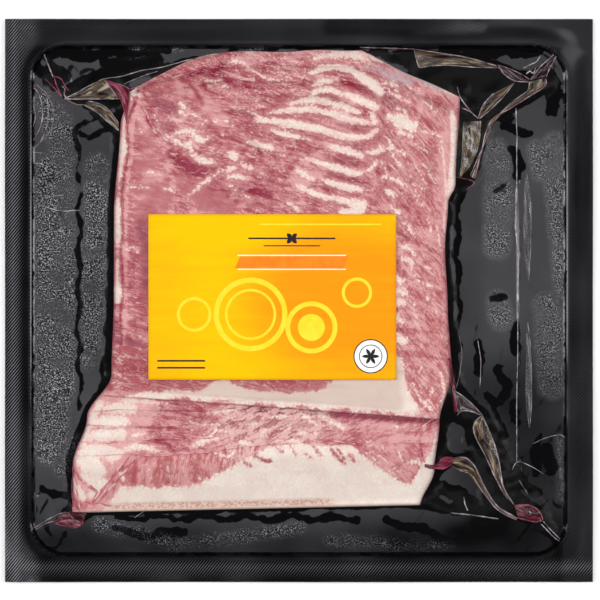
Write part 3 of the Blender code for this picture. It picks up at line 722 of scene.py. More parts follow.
# Crests that hold the film up: place in the photograph and height over the sheet in mm.
CRESTS = (
    ((360, 47, 3.0), (415, 50, 3.0), (440, 53, 2.8), (464, 57, 2.6), (496, 66, 2.4), (530, 80, 2.6),
     (560, 50, 1.0)),
    ((419, 68, 3.5), (440, 66, 3.0), (469, 67, 2.6), (498, 68, 2.2)),
    ((457, 88, 5.0), (461, 99, 4.6), (472, 113, 3.6), (478, 118, 3.4)),
    ((478, 118, 3.2), (482, 107, 3.0), (489, 98, 2.8), (513, 82, 2.6), (530, 81, 2.4)),
    ((546, 77, 2.2), (545, 85, 2.4), (530, 96, 2.8), (509, 109, 3.0), (490, 122, 3.0), (481, 153, 2.6),
     (477, 178, 1.8),
     (466, 190, 1.4)),
    ((464, 121, 5.5), (463, 150, 5.0), (460, 175, 4.0)),
    ((457, 176, 4.0), (474, 182, 1.2)),
    ((449, 362, 6.5), (453, 385, 6.0), (456, 410, 5.0)),
    ((455, 391, 5.2), (472, 405, 4.2), (482, 415, 3.8)),
    ((457, 415, 4.6), (473, 424, 3.4), (476, 436, 3.2), (485, 455, 3.0), (493, 473, 2.8), (504, 495, 2.6)),
    ((482, 415, 3.8), (491, 436, 3.6), (499, 461, 3.4), (503, 486, 3.2), (514, 505, 2.8), (540, 512, 2.2),
     (562, 541, 0.8)),
    ((434, 467, 5.5), (453, 460, 4.2), (466, 458, 3.8), (475, 468, 3.6), (481, 480, 3.2), (493, 501, 3.0),
     (518, 518, 2.6),
     (535, 522, 2.2)),
    ((420, 505, 3.0), (451, 513, 2.0), (470, 516, 1.6), (499, 519, 1.2)),
    ((464, 496, 2.0), (468, 511, 1.6)),
    ((104, 79, 4.2), (84, 89, 3.0), (64, 99, 2.2)), ((104, 79, 4.2), (112, 88, 4.8), (120, 99, 5.2)),
    ((64, 99, 2.0), (90, 99, 2.6), (119, 98, 4.6)),
    ((67, 100, 1.2), (98, 113, 2.2), (108, 121, 2.8), (119, 130, 4.0)),
    ((104, 79, 4.2), (123, 76, 3.0), (140, 71, 2.6), (162, 68, 2.2), (192, 60, 2.0), (230, 53, 1.8)),
    ((41, 47, 0.6), (53, 77, 1.4), (64, 98, 2.0)), ((45, 79, 1.0), (62, 97, 1.8)),
    ((68, 512, 2.2), (54, 521, 1.4), (34, 530, 0.8)),
    ((86, 513, 3.0), (82, 524, 2.0), (75, 528, 1.6), (55, 523, 1.2)),
)
# Where the air presses less, so the film stands off wide: place and radius in the photograph.
SLACK = (
    ((400, 60, 10), (450, 70, 22), (510, 85, 30), (550, 80, 18)), ((475, 120, 10), (468, 170, 6)),
    ((480, 420, 14), (500, 460, 18), (530, 500, 24)), ((440, 500, 16), (490, 515, 14)),
    ((60, 75, 18), (100, 80, 20), (130, 62, 12), (190, 54, 5)), ((100, 120, 14), (80, 130, 10)),
    ((50, 505, 18), (70, 520, 8)),
)
POCKET_X, POCKET_Y = 123.4, 117.7
COLUMNS, ROWS = 308, 294
GRID_X, GRID_Y = np.linspace(-POCKET_X, POCKET_X, COLUMNS), np.linspace(-POCKET_Y, POCKET_Y, ROWS)
STEP_X, STEP_Y = GRID_X[1] - GRID_X[0], GRID_Y[1] - GRID_Y[0]
FILM_FLOOR = 0.95  # the film is never lower than this, just over the black sheet
PULL, SLACK_PULL = 0.055, 0.005  # how far each round pulls the film down, tight and slack
DRAWING_ROUNDS, ROUNDING_PASSES = 420, 12
CREST_STATIONS = 160


# %% Find the film's shape
def level_with(height, x, y):
    """Reads a grid of heights at any places."""
    i = np.clip((x - GRID_X[0]) / STEP_X, 0, COLUMNS - 1.001)
    j = np.clip((y - GRID_Y[0]) / STEP_Y, 0, ROWS - 1.001)
    return read_grid(height, i, j)


def drawn_down(floor_level, pressure):
    """A stretched skin over floor_level, pressed down on it."""
    skin = floor_level.copy()
    for _ in range(DRAWING_ROUNDS):
        mean = skin.copy()
        mean[1:-1, 1:-1] = 0.25 * (skin[:-2, 1:-1] + skin[2:, 1:-1] + skin[1:-1, :-2] + skin[1:-1, 2:])
        skin = np.maximum(mean - pressure, floor_level)
    return skin


grid_x, grid_y = np.meshgrid(GRID_X, GRID_Y)
stack = stack_height(grid_x, grid_y)
held = np.maximum.reduce([np.roll(stack, s, a) for a in (0, 1) for s in (-1, 0, 1)])
for crest in CRESTS:
    for px, py, high in route_of(crest, CREST_STATIONS):
        x, y = at(px, py)
        column, row = int(round((x + POCKET_X) / STEP_X)), int(round((y + POCKET_Y) / STEP_Y))
        if 0 < column < COLUMNS - 1 and 0 < row < ROWS - 1:
            held[row, column] = max(held[row, column], high)
slack = zone(grid_x, grid_y, SLACK, 4.0)
film_height = drawn_down(held, PULL - (PULL - SLACK_PULL) * slack)
on_meat = stack > 0.0
for _ in range(ROUNDING_PASSES):  # stiff film rounds the crests off
    mean = film_height.copy()
    mean[1:-1, 1:-1] = 0.2 * (film_height[1:-1, 1:-1] + film_height[:-2, 1:-1] + film_height[2:, 1:-1]
                              + film_height[1:-1, :-2] + film_height[1:-1, 2:])
    film_height = np.where(on_meat | (film_height < 0.05), film_height, mean)
standing = rise(film_height, 0.10, 0.45)  # 0 where the film is welded to the sheet, 1 where it stands off
film_free = np.where(on_meat, 0.30, standing * (0.26 - 0.10 * slack))
print("film grid:", film_height.shape, "highest, mm:", round(float(film_height.max() + SEAT_Z), 1))


# %% Lay the film and take out what is welded down
def lay_film(u, v, level):
    x, y = POCKET_X * (2 * u - 1), POCKET_Y * (2 * v - 1)
    free = level_with(standing, x, y) * (1.0 - level_with(on_meat.astype(float), x, y))
    ripple = np.sin(0.31 * x + 0.9 * np.sin(0.17 * y)) * np.sin(0.27 * y + 1.3)
    ripple += 0.5 * np.sin(0.55 * x - 0.62 * y + 1.4 * np.sin(0.11 * x))
    z = SEAT_Z + FILM_THICKNESS + level_with(film_height, x, y) + 0.12 * ripple * free
    return x, y, np.clip(z, FILM_FLOOR, TOP_Z)


film_mesh, film_x, film_y, _ = lay_sheet("top_film", COLUMNS - 1, ROWS - 1, lay_film)
write_field(film_mesh, "free", level_with(film_free, film_x, film_y))
cut_away(film_mesh, level_with(standing, film_x, film_y) < 0.02)
top_film = add_piece(film_mesh, "sealed_slices")
print("film triangles:", 2 * len(film_mesh.polygons))

# %% [markdown]
# ## Folds of spare film
#
# The film is flat before the vacuum pulls it down, so there is too much of it at the corners. It gathers
# in doubled panels, which look olive, or red where juice ran in between. Along their edges the film is
# bent sharply, and such a crease shines as a thin light line, painted into its colour as a highlight.
# Panels are laid between two lines, and creases are narrow rounded strips along one line.

# %% Panels and creases, as lines in the photograph
TOP_BAND_A = ((414, 49), (440, 53), (464, 57), (480, 61), (497, 66))
TOP_BAND_B = ((419, 68), (432, 66), (450, 65.5), (470, 67), (497, 68))
LENS_A = ((498, 65), (510, 69), (521, 74), (530, 80))
LENS_B = ((498, 66), (504, 74), (515, 81), (529, 82))
SPIKE_A = ((530, 80), (540, 67), (549, 59), (558, 50))
SPIKE_B = ((546, 77), (549, 70), (554, 61), (558, 52))
KNEE_A = ((529, 82), (526, 92), (510, 104), (495, 120), (487, 138), (478, 158), (470, 176))
KNEE_B = ((546, 78), (545, 86), (530, 96), (509, 109), (490, 122), (481, 153), (475, 179))
FAN_A = ((478, 118), (482, 107), (488, 99), (494, 93))
FAN_B = ((479, 119), (490, 110), (503, 97), (514, 83))
SIDE_A = ((463, 122), (462, 140), (461, 160), (459, 176))
SIDE_B = ((481, 121), (480, 140), (474, 160), (462, 177))
TRIANGLE_A = ((64, 99), (78, 92), (91, 85), (104, 79))
TRIANGLE_B = ((64, 99), (83, 99), (102, 99), (120, 99))
LOWER_BAND_A = ((88, 101), (100, 104), (110, 111), (119, 124))
LOWER_BAND_B = ((84, 105), (98, 113), (107, 121), (119, 131))
RED_FLAP_A = ((105, 80), (114, 83), (122, 85), (130, 89))
RED_FLAP_B = ((119, 97), (122, 104), (124, 112), (127, 126))
TIGHT_A = ((455, 391), (464, 397), (473, 405), (482, 415))
TIGHT_B = ((457, 415), (461, 411), (470, 411), (481, 415))
LEG_A = ((482, 415), (474, 423), (475, 436), (485, 455), (493, 473), (504, 495))
LEG_B = ((482, 415), (491, 436), (496, 450), (499, 461), (503, 486), (514, 505))
FOOT_A = ((453, 458), (466, 458), (475, 467), (480, 478), (493, 501), (504, 511), (518, 518))
FOOT_B = ((450, 465), (462, 471), (470, 474), (474, 480), (486, 496), (498, 510), (516, 520))
RED_TUBE_A = ((446, 358), (449, 372), (451, 386), (454, 413))
RED_TUBE_B = ((450, 358), (453, 372), (455, 386), (457, 411))
JUICE_A = ((424, 463), (434, 464), (443, 457), (453, 457))
JUICE_B = ((424, 466), (434, 468), (445, 468), (453, 463))
LENS_LOW_A = ((514, 505), (529, 505), (539, 511), (543, 520))
LENS_LOW_B = ((518, 518), (526, 520), (535, 522), (542, 521))
POCKET_A = ((54, 521), (60, 515), (68, 512), (86, 512))
POCKET_B = ((55, 524), (65, 526), (75, 528), (83, 524))
# Two thin blisters on the right; their grey is a painted reflection.
BLISTER_SHEEN_A = ((526, 172), (524, 205), (524, 245), (528, 281))
BLISTER_SHEEN_B = ((527, 172), (531, 205), (531, 245), (529, 281))
LOW_BLISTER_SHEEN_A = ((527, 322), (526, 350), (526, 400), (529, 428))
LOW_BLISTER_SHEEN_B = ((528, 322), (531, 350), (532, 400), (530, 428))
PANELS = (
    ("olive", TOP_BAND_A, TOP_BAND_B), ("clear", LENS_A, LENS_B), ("clear", SPIKE_A, SPIKE_B),
    ("olive", KNEE_A, KNEE_B), ("olive", FAN_A, FAN_B), ("olive", SIDE_A, SIDE_B),
    ("olive", TRIANGLE_A, TRIANGLE_B), ("olive", LOWER_BAND_A, LOWER_BAND_B),
    ("juice", RED_FLAP_A, RED_FLAP_B),
    ("clear", TIGHT_A, TIGHT_B), ("olive", LEG_A, LEG_B), ("olive", FOOT_A, FOOT_B),
    ("juice", RED_TUBE_A, RED_TUBE_B), ("juice", JUICE_A, JUICE_B), ("red", LENS_LOW_A, LENS_LOW_B),
    ("red", POCKET_A, POCKET_B), ("grey_sheen", BLISTER_SHEEN_A, BLISTER_SHEEN_B), ("grey_sheen", LOW_BLISTER_SHEEN_A, LOW_BLISTER_SHEEN_B),
)
# Each crease: half width in mm, how red it is, and its line.
CREASES = (
    (0.35, 0.6, ((360, 47), (390, 48), (414, 49))), (0.45, 0.5, TOP_BAND_A), (0.35, 0.2, TOP_BAND_B),
    (0.3, 0.2, ((414, 49), (416, 58), (419, 68))), (0.35, 0.6, LENS_A), (0.5, 0.5, LENS_B),
    (0.6, 0.0, ((523, 68), (527, 66), (531, 64), (537, 61), (541, 55))),
    (0.5, 0.0, ((526, 74), (530, 71), (533, 73), (536, 67))), (0.4, 0.0, SPIKE_A), (0.4, 0.5, SPIKE_B),
    (0.45, 0.6, KNEE_B), (0.3, 0.1, KNEE_A[1:]), (0.35, 0.1, FAN_A), (0.35, 0.2, FAN_B),
    (0.35, 0.6, ((462, 108), (470, 112), (478, 118))),
    (0.35, 0.1, ((457, 87), (461, 99), (472, 113), (478, 119))),
    (0.3, 0.8, ((457, 177), (474, 182), (466, 190))), (0.35, 0.2, TRIANGLE_A), (0.4, 0.1, TRIANGLE_B),
    (0.35, 0.2, ((104, 79), (111, 88), (118, 98))), (0.35, 0.3, LOWER_BAND_B), (0.3, 0.3, LOWER_BAND_A),
    (0.35, 0.5, ((67, 100), (76, 104), (84, 105))), (0.35, 0.3, ((41, 47), (47, 62), (53, 77))),
    (0.4, 0.9, ((45, 79), (54, 88), (62, 97))), (0.35, 0.9, ((54, 76), (61, 79), (65, 86), (69, 91))),
    (0.35, 0.9, ((54, 77), (57, 87), (62, 97))), (0.5, 0.4, ((62, 86), (65, 89), (64, 94), (66, 98))),
    (0.35, 0.1, ((104, 79), (123, 76), (140, 71), (162, 67), (192, 59), (225, 53))),
    (0.25, 0.1, ((124, 84), (140, 77), (158, 71))), (0.35, 0.8, RED_FLAP_A),
    (0.4, 0.1, ((455, 391), (464, 397), (473, 405), (482, 415))), (0.4, 0.1, TIGHT_B), (0.4, 0.1, LEG_A),
    (0.5, 0.3, LEG_B), (0.5, 0.5, FOOT_A), (0.3, 0.2, FOOT_B), (0.6, 1.0, JUICE_B), (0.45, 0.8, LENS_LOW_A),
    (0.45, 0.8, LENS_LOW_B), (0.35, 0.8, ((516, 508), (524, 512), (532, 513), (541, 519))),
    (0.35, 0.0, ((543, 521), (552, 531), (562, 541))),
    (0.35, 0.0, ((541, 524), (549, 532), (556, 539), (562, 542))),
    (0.45, 0.0, ((451, 513), (470, 515), (499, 519))), (0.4, 0.0, ((464, 497), (465, 504), (468, 511))),
    (0.35, 0.9, POCKET_B), (0.3, 0.5, ((55, 521), (45, 524), (35, 530))),
    (0.3, 0.3, ((66, 512), (54, 516), (34, 528))),
    (0.35, 0.7, ((68, 512), (74, 519), (83, 524))), (0.35, 0.7, ((86, 513), (84, 518), (82, 524))),
    (0.35, 0.8, ((80, 512), (76, 505), (72, 496), (72, 484), (75, 466))),
    # short creases and rings in the black sheet on the left
    (0.45, 0.0, ((37, 204), (50, 208), (62, 211), (80, 210))),
    (0.4, 0.0, ((44, 198), (54, 196), (63, 195))),
    (0.4, 0.0, ((25, 151), (34, 152), (42, 153))), (0.5, 0.0, ((26, 163), (35, 163), (43, 164))),
    (0.35, 0.0, ((26, 172), (31, 173))),
    (0.3, 0.0, ((32, 150), (41, 141), (52, 130))),
    (0.3, 0.0, ((28, 86), (36, 90), (41, 102), (42, 118), (38, 132), (30, 144))),
    (0.25, 0.0, ((27, 98), (32, 103), (35, 114), (33, 126), (28, 136))),
    (0.25, 0.0, ((36, 84), (45, 94), (48, 110), (46, 128), (40, 142))),
    (0.2, 0.0, ((44, 90), (51, 102), (53, 118), (50, 136))),
    (0.25, 0.0, ((134, 518), (140, 514), (146, 510))),
    # the long crease and two thin blisters in the black sheet on the right
    (0.40, 0.0, ((516, 108), (517, 130), (517, 160), (517, 186))),
    (0.75, 0.0, ((517, 184), (516, 226), (518, 250), (518, 285), (518, 320))),
    (0.35, 0.0, ((518, 318), (518, 350), (517, 400), (517, 462))),
    (0.2, 0.0, ((527, 172), (531, 205), (531, 245), (529, 281))),
    (0.2, 0.0, ((528, 322), (531, 350), (532, 400), (530, 428))),
    (0.25, 0.0, ((533, 444), (546, 438), (560, 435), (566, 438))),
    (0.3, 0.0, ((512, 470), (518, 462), (530, 466), (544, 474))),
    (0.25, 0.0, ((519, 480), (524, 488), (528, 494))),
    (0.25, 0.0, ((478, 340), (481, 362), (480, 388))),
    (0.2, 0.0, ((458, 330), (462, 352), (460, 372), (456, 388))),
)
# Creases that cross the meat hold a little juice, and lie nearly flat.
JUICE_LINES = (
    (1.0, 0.9, ((130, 456), (112, 478), (92, 503))), (0.8, 1.0, ((135, 459), (117, 481), (97, 504))),
    (1.2, 0.9, ((74, 470), (84, 481), (98, 492))), (0.6, 1.0, ((73, 466), (75, 482), (78, 496), (80, 508))),
    (0.9, 0.8, ((84, 502), (98, 504), (118, 507))), (0.6, 1.0, ((98, 491), (95, 497), (92, 503))),
    (0.8, 1.0, ((418, 440), (423, 431), (430, 425), (438, 419))),
    (0.6, 0.9, ((414, 436), (420, 428), (428, 421), (434, 416))),
    (0.8, 1.0, ((420, 446), (420, 455), (424, 462))),
    (0.7, 0.9, ((316, 439), (340, 441), (356, 444), (366, 446))),
    (0.7, 0.9, ((131, 95), (146, 113), (156, 131), (172, 144))),
    (0.5, 1.0, ((130, 89), (150, 83), (172, 77), (196, 71))),
    (0.5, 0.9, ((253, 431), (264, 424), (276, 417))), (0.5, 0.9, ((272, 437), (288, 426))),
)


# %% Lay the panels and creases
PANEL_COLUMNS, PANEL_ROWS = 79, 16
CREASE_COLUMNS, CREASE_ROWS = 59, 6
PANEL_LIFT, CREASE_LIFT = 0.28, 0.15  # over the film, in mm
PANEL_RED = {"red": 0.45, "juice": 0.8}
CROWN, FLAT_CROWN = 0.9, 0.12


def film_level(x, y):
    return SEAT_Z + FILM_THICKNESS + level_with(film_height, x, y)


def laid_mesh(name, parts):
    """Joins grids into one mesh. Each part gives its columns, rows and a rule that places u and v."""
    bm = bmesh.new()
    red_of, fold_of = bm.verts.layers.float.new("red"), bm.verts.layers.float_vector.new("fold")
    for columns, rows, rule in parts:
        made, u, v = flat_grid(bm, columns, rows)
        x, y, z, red, fold = rule(u, v)
        for i, vertex in enumerate(made):
            vertex.co = (MM * x[i], MM * y[i], MM * z[i])
            vertex[red_of], vertex[fold_of] = red, (fold[0][i], fold[1][i], fold[2])
    bmesh.ops.recalc_face_normals(bm, faces=bm.faces)
    return finished_mesh(bm, name)


def route_length(points):
    """Length of a route over the photograph, in mm."""
    return PX * float(np.linalg.norm(np.diff(points, axis=0), axis=1).sum())


def panel_rule(kind, line_a, line_b, seed):
    """Lays a grid between two lines, in slow waves."""
    a, b = route_of(line_a, PANEL_COLUMNS + 1), route_of(line_b, PANEL_COLUMNS + 1)
    long = route_length(a)

    def rule(u, v):
        i = np.rint(u * PANEL_COLUMNS).astype(int)
        px = a[i, 0] * (1 - v) + b[i, 0] * v
        py = a[i, 1] * (1 - v) + b[i, 1] * v
        x, y = at(px, py)
        waves = 0.22 * np.sin(6.0 * u + seed) + 0.15 * np.sin(17.0 * u - 5.0 * v + seed)
        z = film_level(x, y) + PANEL_LIFT + np.sin(math.pi * v) * waves
        fold = (u * long / 12.0, 3.2 * v + 0.7 * np.sin(3.0 * u + seed), seed)
        return x, y, np.minimum(z, TOP_Z), PANEL_RED.get(kind, 0.0), fold

    return PANEL_COLUMNS, PANEL_ROWS, rule


def crease_rule(half_width, red, line, crown=CROWN):
    """Lays a narrow rounded strip along a line. It tapers at both ends."""
    points = route_of(line, CREASE_COLUMNS + 1)
    along = np.gradient(points, axis=0)
    side = np.stack([-along[:, 1], along[:, 0]], axis=1)
    side /= np.linalg.norm(side, axis=1, keepdims=True)
    seed, long = float(line[0][0]), route_length(points)

    def rule(u, v):
        i = np.rint(u * CREASE_COLUMNS).astype(int)
        q = 2 * v - 1
        taper = np.sqrt(np.clip(np.minimum(u, 1 - u) * 12 + 0.15, 0, 1))
        wide = 0.62 * half_width / PX * (1 + 0.35 * np.sin(9.0 * u + seed) * np.sin(23.0 * u)) * taper
        px, py = points[i, 0] + side[i, 0] * q * wide, points[i, 1] + side[i, 1] * q * wide
        x, y = at(px, py)
        z = film_level(x, y) + CREASE_LIFT + crown * wide * PX * np.sqrt(np.clip(1 - q * q, 0, 1))
        return x, y, np.minimum(z, TOP_Z), red, (u * long / 5.0, 0.3 * q, seed)

    return CREASE_COLUMNS, CREASE_ROWS, rule


panels = {}
for kind in ("olive", "red", "juice", "clear", "grey_sheen"):
    rules = [panel_rule(kind, a, b, 1.7 * i) for i, (look, a, b) in enumerate(PANELS) if look == kind]
    panels[kind] = add_piece(laid_mesh(f"film_panels_{kind}", rules), "sealed_slices")
crease_mesh = laid_mesh("film_creases", [crease_rule(*crease) for crease in CREASES])
creases = add_piece(crease_mesh, "sealed_slices")
juice_rules = [crease_rule(*line, crown=FLAT_CROWN) for line in JUICE_LINES]
juice_mesh = laid_mesh("film_creases_with_juice", juice_rules)
juice_lines = add_piece(juice_mesh, "sealed_slices")
print("panels:", len(PANELS), "creases:", len(CREASES), "triangles:", 2 * sum(
    len(piece.data.polygons) for piece in (*panels.values(), creases, juice_lines)))

# %% [markdown]
# ## Black sheet
#
# The bottom web is a glossy black sheet, formed into a shallow pocket. The CAD solid stays as its body.
# What the eye sees is its upper face, with the seal's diamond knurl, long creases and an orange-peel
# texture where the two films are welded, so a finely divided face is laid a tenth of a millimetre over
# the solid. Where the clear film stands off, little light gets under it, so the sheet is painted darker
# and less glossy there, as painted shade.

# %% Rules for the upper face of the black sheet
HALF_X, HALF_Y = 1000 * web_high[0], 1000 * web_high[1]
FLANGE = 12.0
POCKET_DEPTH = 1.8
POCKET_RADIUS = 16.0
LONG_CREASES = (  # half width and height in mm, and the line in the photograph
    (1.3, -0.45, ((78, 172), (79, 250), (78, 330), (80, 410))),
    (0.8, 0.22, ((517, 108), (518, 250), (517, 380), (517, 460))),
    (1.6, -0.3, ((480, 190), (482, 260), (480, 330), (479, 400))),
    (1.0, -0.3, ((32, 90), (33, 250), (33, 440))),
    (1.3, 0.14, ((527, 182), (529, 220), (528, 282))), (1.3, 0.14, ((528, 345), (529, 390), (527, 425))),
    (1.2, -0.4, ((497, 200), (500, 260), (498, 330))), (1.5, -0.35, ((505, 350), (500, 400), (505, 440))),
    (1.0, 0.3, ((519, 462), (521, 482), (528, 491))),
    (1.0, 0.4, ((512, 51), (530, 53), (541, 61), (547, 75))),
    (0.8, 0.35, ((520, 49), (540, 53), (551, 63), (555, 82))),
)
BLISTERS = (
    ((90, 74, 6), (76, 80, 7), (72, 70, 5)), ((40, 500, 8), (34, 516, 5)), ((135, 528, 3.5), (141, 528, 3.5)),
    ((172, 538, 5),), ((560, 500, 8), (556, 470, 6)), ((468, 425, 8), (470, 445, 9)),
)
# Painted shade: in these zones the sheet is painted darker and less glossy, for the shade where the clear
# film stands off.
DARK_ZONES = (  # where the sheet looks quite black
    ((34, 58, 5), (42, 72, 7), (54, 82, 7)),
    ((46, 54, 5), (66, 54, 7), (95, 54, 6), (130, 52, 5), (170, 51, 3)),
    ((52, 66, 6), (62, 78, 8)), ((105, 64, 6), (130, 66, 8), (160, 58, 5)),
    ((230, 50, 2), (330, 47, 3), (362, 46, 3)),
    ((372, 52, 4), (400, 58, 5), (430, 75, 9), (462, 80, 11), (500, 86, 8)),
    ((440, 46, 4), (500, 52, 7), (540, 50, 6)),
    ((462, 96, 5), (480, 104, 9), (506, 118, 8)), ((548, 72, 6), (556, 92, 9), (551, 112, 7)),
    ((503, 128, 5), (532, 132, 4)),
    ((464, 122, 4), (468, 150, 8), (466, 176, 7)),
    ((460, 190, 5), (457, 220, 4), (459, 300, 3), (458, 350, 3)),
    ((117, 104, 3), (116, 180, 2), (112, 250, 2.5), (108, 310, 3), (108, 350, 3.5), (99, 390, 3.5),
     (88, 430, 3)),
    ((94, 118, 2), (84, 121, 3.2), (75, 130, 3.4)),
    ((76, 134, 2.4), (77, 148, 3), (78, 160, 2.4), (79, 176, 1.2)),
    ((82, 131, 2.2), (88, 137, 2.6), (100, 133, 3.4), (114, 128, 3.4)),
    ((79, 176, 1.6), (79, 250, 2.6), (78, 330, 2.8), (80, 410, 1.8)),
    ((116, 518, 3), (200, 518, 3.5), (300, 518, 4), (360, 519, 4)),
    ((385, 520, 4), (420, 530, 6), (455, 542, 5)),
    ((440, 486, 7), (462, 498, 9), (480, 512, 7)),
    ((448, 418, 4), (466, 424, 5), (474, 446, 5), (484, 470, 5)),
    ((500, 392, 3), (496, 408, 4), (504, 440, 4)), ((510, 470, 5), (524, 480, 6), (536, 494, 6)),
    ((546, 452, 8), (551, 470, 7)),
    ((27, 508, 1.4), (30, 528, 1.8), (40, 543, 2), (52, 549, 2), (66, 534, 1.6)),
    ((44, 487, 4), (56, 495, 5), (68, 498, 3)), ((535, 528, 2), (548, 536, 3), (556, 546, 3)),
    ((476, 342, 4), (482, 358, 5), (478, 374, 4)), ((500, 370, 5), (506, 388, 6), (502, 404, 4)),
    ((514, 404, 4), (517, 422, 4)),
    ((486, 392, 4), (498, 402, 4)), ((514, 152, 6), (519, 168, 7), (518, 180, 3)),
    ((518, 326, 4), (517, 340, 5), (514, 352, 4)),
    ((492, 298, 3), (508, 299, 3)), ((494, 190, 3), (506, 186, 3)),
    ((540, 440, 4), (533, 456, 6), (538, 472, 5)),
    ((46, 520, 2), (50, 532, 3)), ((116, 530, 3), (150, 536, 5), (185, 531, 5)),
    ((440, 380, 2), (447, 415, 3)),
)
PEEL_ZONES = (  # where it has orange peel
    ((44, 100, 9), (58, 126, 15), (64, 150, 14)),
    ((54, 170, 18), (54, 230, 20), (55, 300, 20), (54, 380, 20), (50, 450, 14)),
    ((97, 165, 11), (95, 230, 12), (92, 300, 12), (88, 360, 9)), ((78, 440, 6), (62, 470, 8)),
    ((497, 150, 11), (499, 200, 14), (497, 246, 12)), ((498, 302, 10), (501, 318, 11)),
    ((536, 148, 7), (541, 172, 7)),
    ((556, 146, 13), (558, 200, 11), (560, 240, 9), (563, 290, 7)),
    ((546, 306, 12), (551, 340, 16), (552, 385, 14)), ((240, 54, 5), (280, 52, 4)),
    ((100, 525, 7), (180, 545, 6), (250, 536, 6), (300, 528, 5)),
    ((330, 540, 5), (400, 545, 5), (450, 546, 3)), ((560, 440, 4), (565, 500, 5)),
    ((136, 46, 3), (180, 46, 3)),
)


def inward(x, y, corner):
    """Distance inside the pocket's outline, which has round corners."""
    a = np.abs(x) - (HALF_X - FLANGE - corner)
    b = np.abs(y) - (HALF_Y - FLANGE - corner)
    return corner - np.hypot(np.maximum(a, 0), np.maximum(b, 0)) - np.minimum(np.maximum(a, b), 0)


def flange_wave(x, y):
    """The seal edge isn't quite flat."""
    return 0.5 * (np.sin(0.041 * x + 0.6) + np.sin(0.047 * y - 1.1))


def sheet_relief(x, y, inside):
    """Creases, blisters and slow waves of the black sheet, in mm."""
    relief = 0.16 * np.sin(0.23 * x + 1.7 * np.sin(0.05 * y)) * np.sin(0.19 * y + 0.4)
    relief += 0.08 * np.sin(0.61 * x + 0.8) * np.sin(0.53 * y + 2.0 * np.sin(0.09 * x))
    relief += 0.05 * np.sin(1.3 * x + 1.1 * np.sin(0.31 * y)) * np.sin(1.1 * y)
    for half, high, line in LONG_CREASES:
        away = -inside_strokes(x, y, (tuple((px, py, 0.0) for px, py in line),))
        relief += high * np.exp(-((away / half) ** 2))
    relief += 0.5 * rise(inside_strokes(x, y, BLISTERS), -0.6, 1.6)
    return relief * rise(inside, 0.5, 4.0)


def seal_dim(x, y, inside):
    """How much painted shade the seal gets, which darkens it and takes down its gloss. Its outer part on the
    left still shines, and its right and top a little.
    """
    on_left = 1.0 - rise(x, -125, -118)
    on_right_or_top = np.maximum(rise(x, 120, 124), rise(y, 116, 120))
    at_bottom = 1.0 - rise(y, -124, -117)
    painted_shade = 0.94 + 0.10 * at_bottom * (1.0 - on_left) - 0.60 * on_left * (1.0 - rise(inside, -6.5, -3.5))
    return painted_shade - 0.10 * rise(-inside, 7.0, 9.0) - 0.28 * on_right_or_top


# %% Lay the upper face of the black sheet
FACE_COLUMNS, FACE_ROWS = 306, 292
FACE_LIFT, SEAL_LIFT = 0.12, 0.30  # over the CAD sheet, in mm, and how much more on the seal
WALL_RUN = 1.1  # of the pocket's sloping wall
# A painted highlight line along the long crease on the right.
MAIN_RIDGE_HIGHLIGHT = (((517, 186, 0.1), (518, 250, 0.5), (518, 318, 0.1)),)


def lay_web_face(u, v, level):
    x, y = HALF_X * (2 * u - 1), HALF_Y * (2 * v - 1)
    inside = inward(x, y, POCKET_RADIUS)
    up = 1.0 - rise(inside, 0.0, WALL_RUN)
    rim = np.clip(1.0 + inside / FLANGE, 0.0, 1.0)
    z = (POCKET_DEPTH + flange_wave(x, y) * (1.0 - rise(rim, 0.0, 1.0))) * up
    z += WEB_THICKNESS + FACE_LIFT + SEAL_LIFT * up
    return x, y, z + np.maximum(sheet_relief(x, y, inside), -0.10)


web_mesh, web_x, web_y, _ = lay_sheet("web_face", FACE_COLUMNS, FACE_ROWS, lay_web_face)
web_inside = inward(web_x, web_y, POCKET_RADIUS)
peeled = zone(web_x, web_y, PEEL_ZONES, 2.5) * rise(web_inside, 0.5, 2.0)
write_field(web_mesh, "peel", peeled)
bent_x = web_x + 0.9 * np.sin(0.35 * web_y + 0.9 * np.sin(0.21 * web_x))
bent_x += 0.25 * np.sin(0.95 * web_y + 0.8 * web_x)
bent_y = web_y + 0.9 * np.sin(0.31 * web_x + 0.9 * np.sin(0.19 * web_y))
bent_y += 0.25 * np.sin(0.88 * web_x - 0.7 * web_y)
# Painted shade on the sheet: in the dark zones, where the film stands high over it, and along the pocket's
# sloping wall.
shaded = zone(bent_x, bent_y, DARK_ZONES, 2.0)
shaded = np.maximum(shaded, rise(level_with(film_height, web_x, web_y), 0.6, 1.8))
shaded = np.maximum(shaded, 0.55 * rise(web_inside, 0.0, 0.3) * (1.0 - rise(web_inside, 1.2, 2.2)))
write_field(web_mesh, "painted_film_shade", shaded * rise(web_inside, -0.5, 0.5))
# Painted shade: the sheet is made darker and less glossy towards the right and the bottom, less so in the
# peel on the right, and on the seal.
dim = 0.30 + 0.12 * rise(web_x, 20, 70) + 0.48 * (1.0 - rise(web_y, -112, -96))
dim += 0.34 * rise(web_x, 60, 85) * (1.0 - rise(web_y, -44, -10))
dim -= 0.14 * rise(web_x, 78, 90) * (1.0 - rise(np.abs(web_y - 22.0), 40, 60))
dim = np.maximum(dim - 0.24 * peeled * rise(web_x, 60, 85), 0.0)
dim = np.maximum(dim, rise(-web_inside, 0.0, 1.0) * seal_dim(web_x, web_y, web_inside))
write_field(web_mesh, "dim", np.clip(dim, 0.0, 0.9))
write_field(web_mesh, "ridge_highlight", rise(inside_strokes(web_x, web_y, MAIN_RIDGE_HIGHLIGHT), -0.5, 0.5))
cut_away(web_mesh, web_inside < -1.3)
web_face = add_piece(web_mesh, None)
print("web face triangles:", 2 * len(web_mesh.polygons))

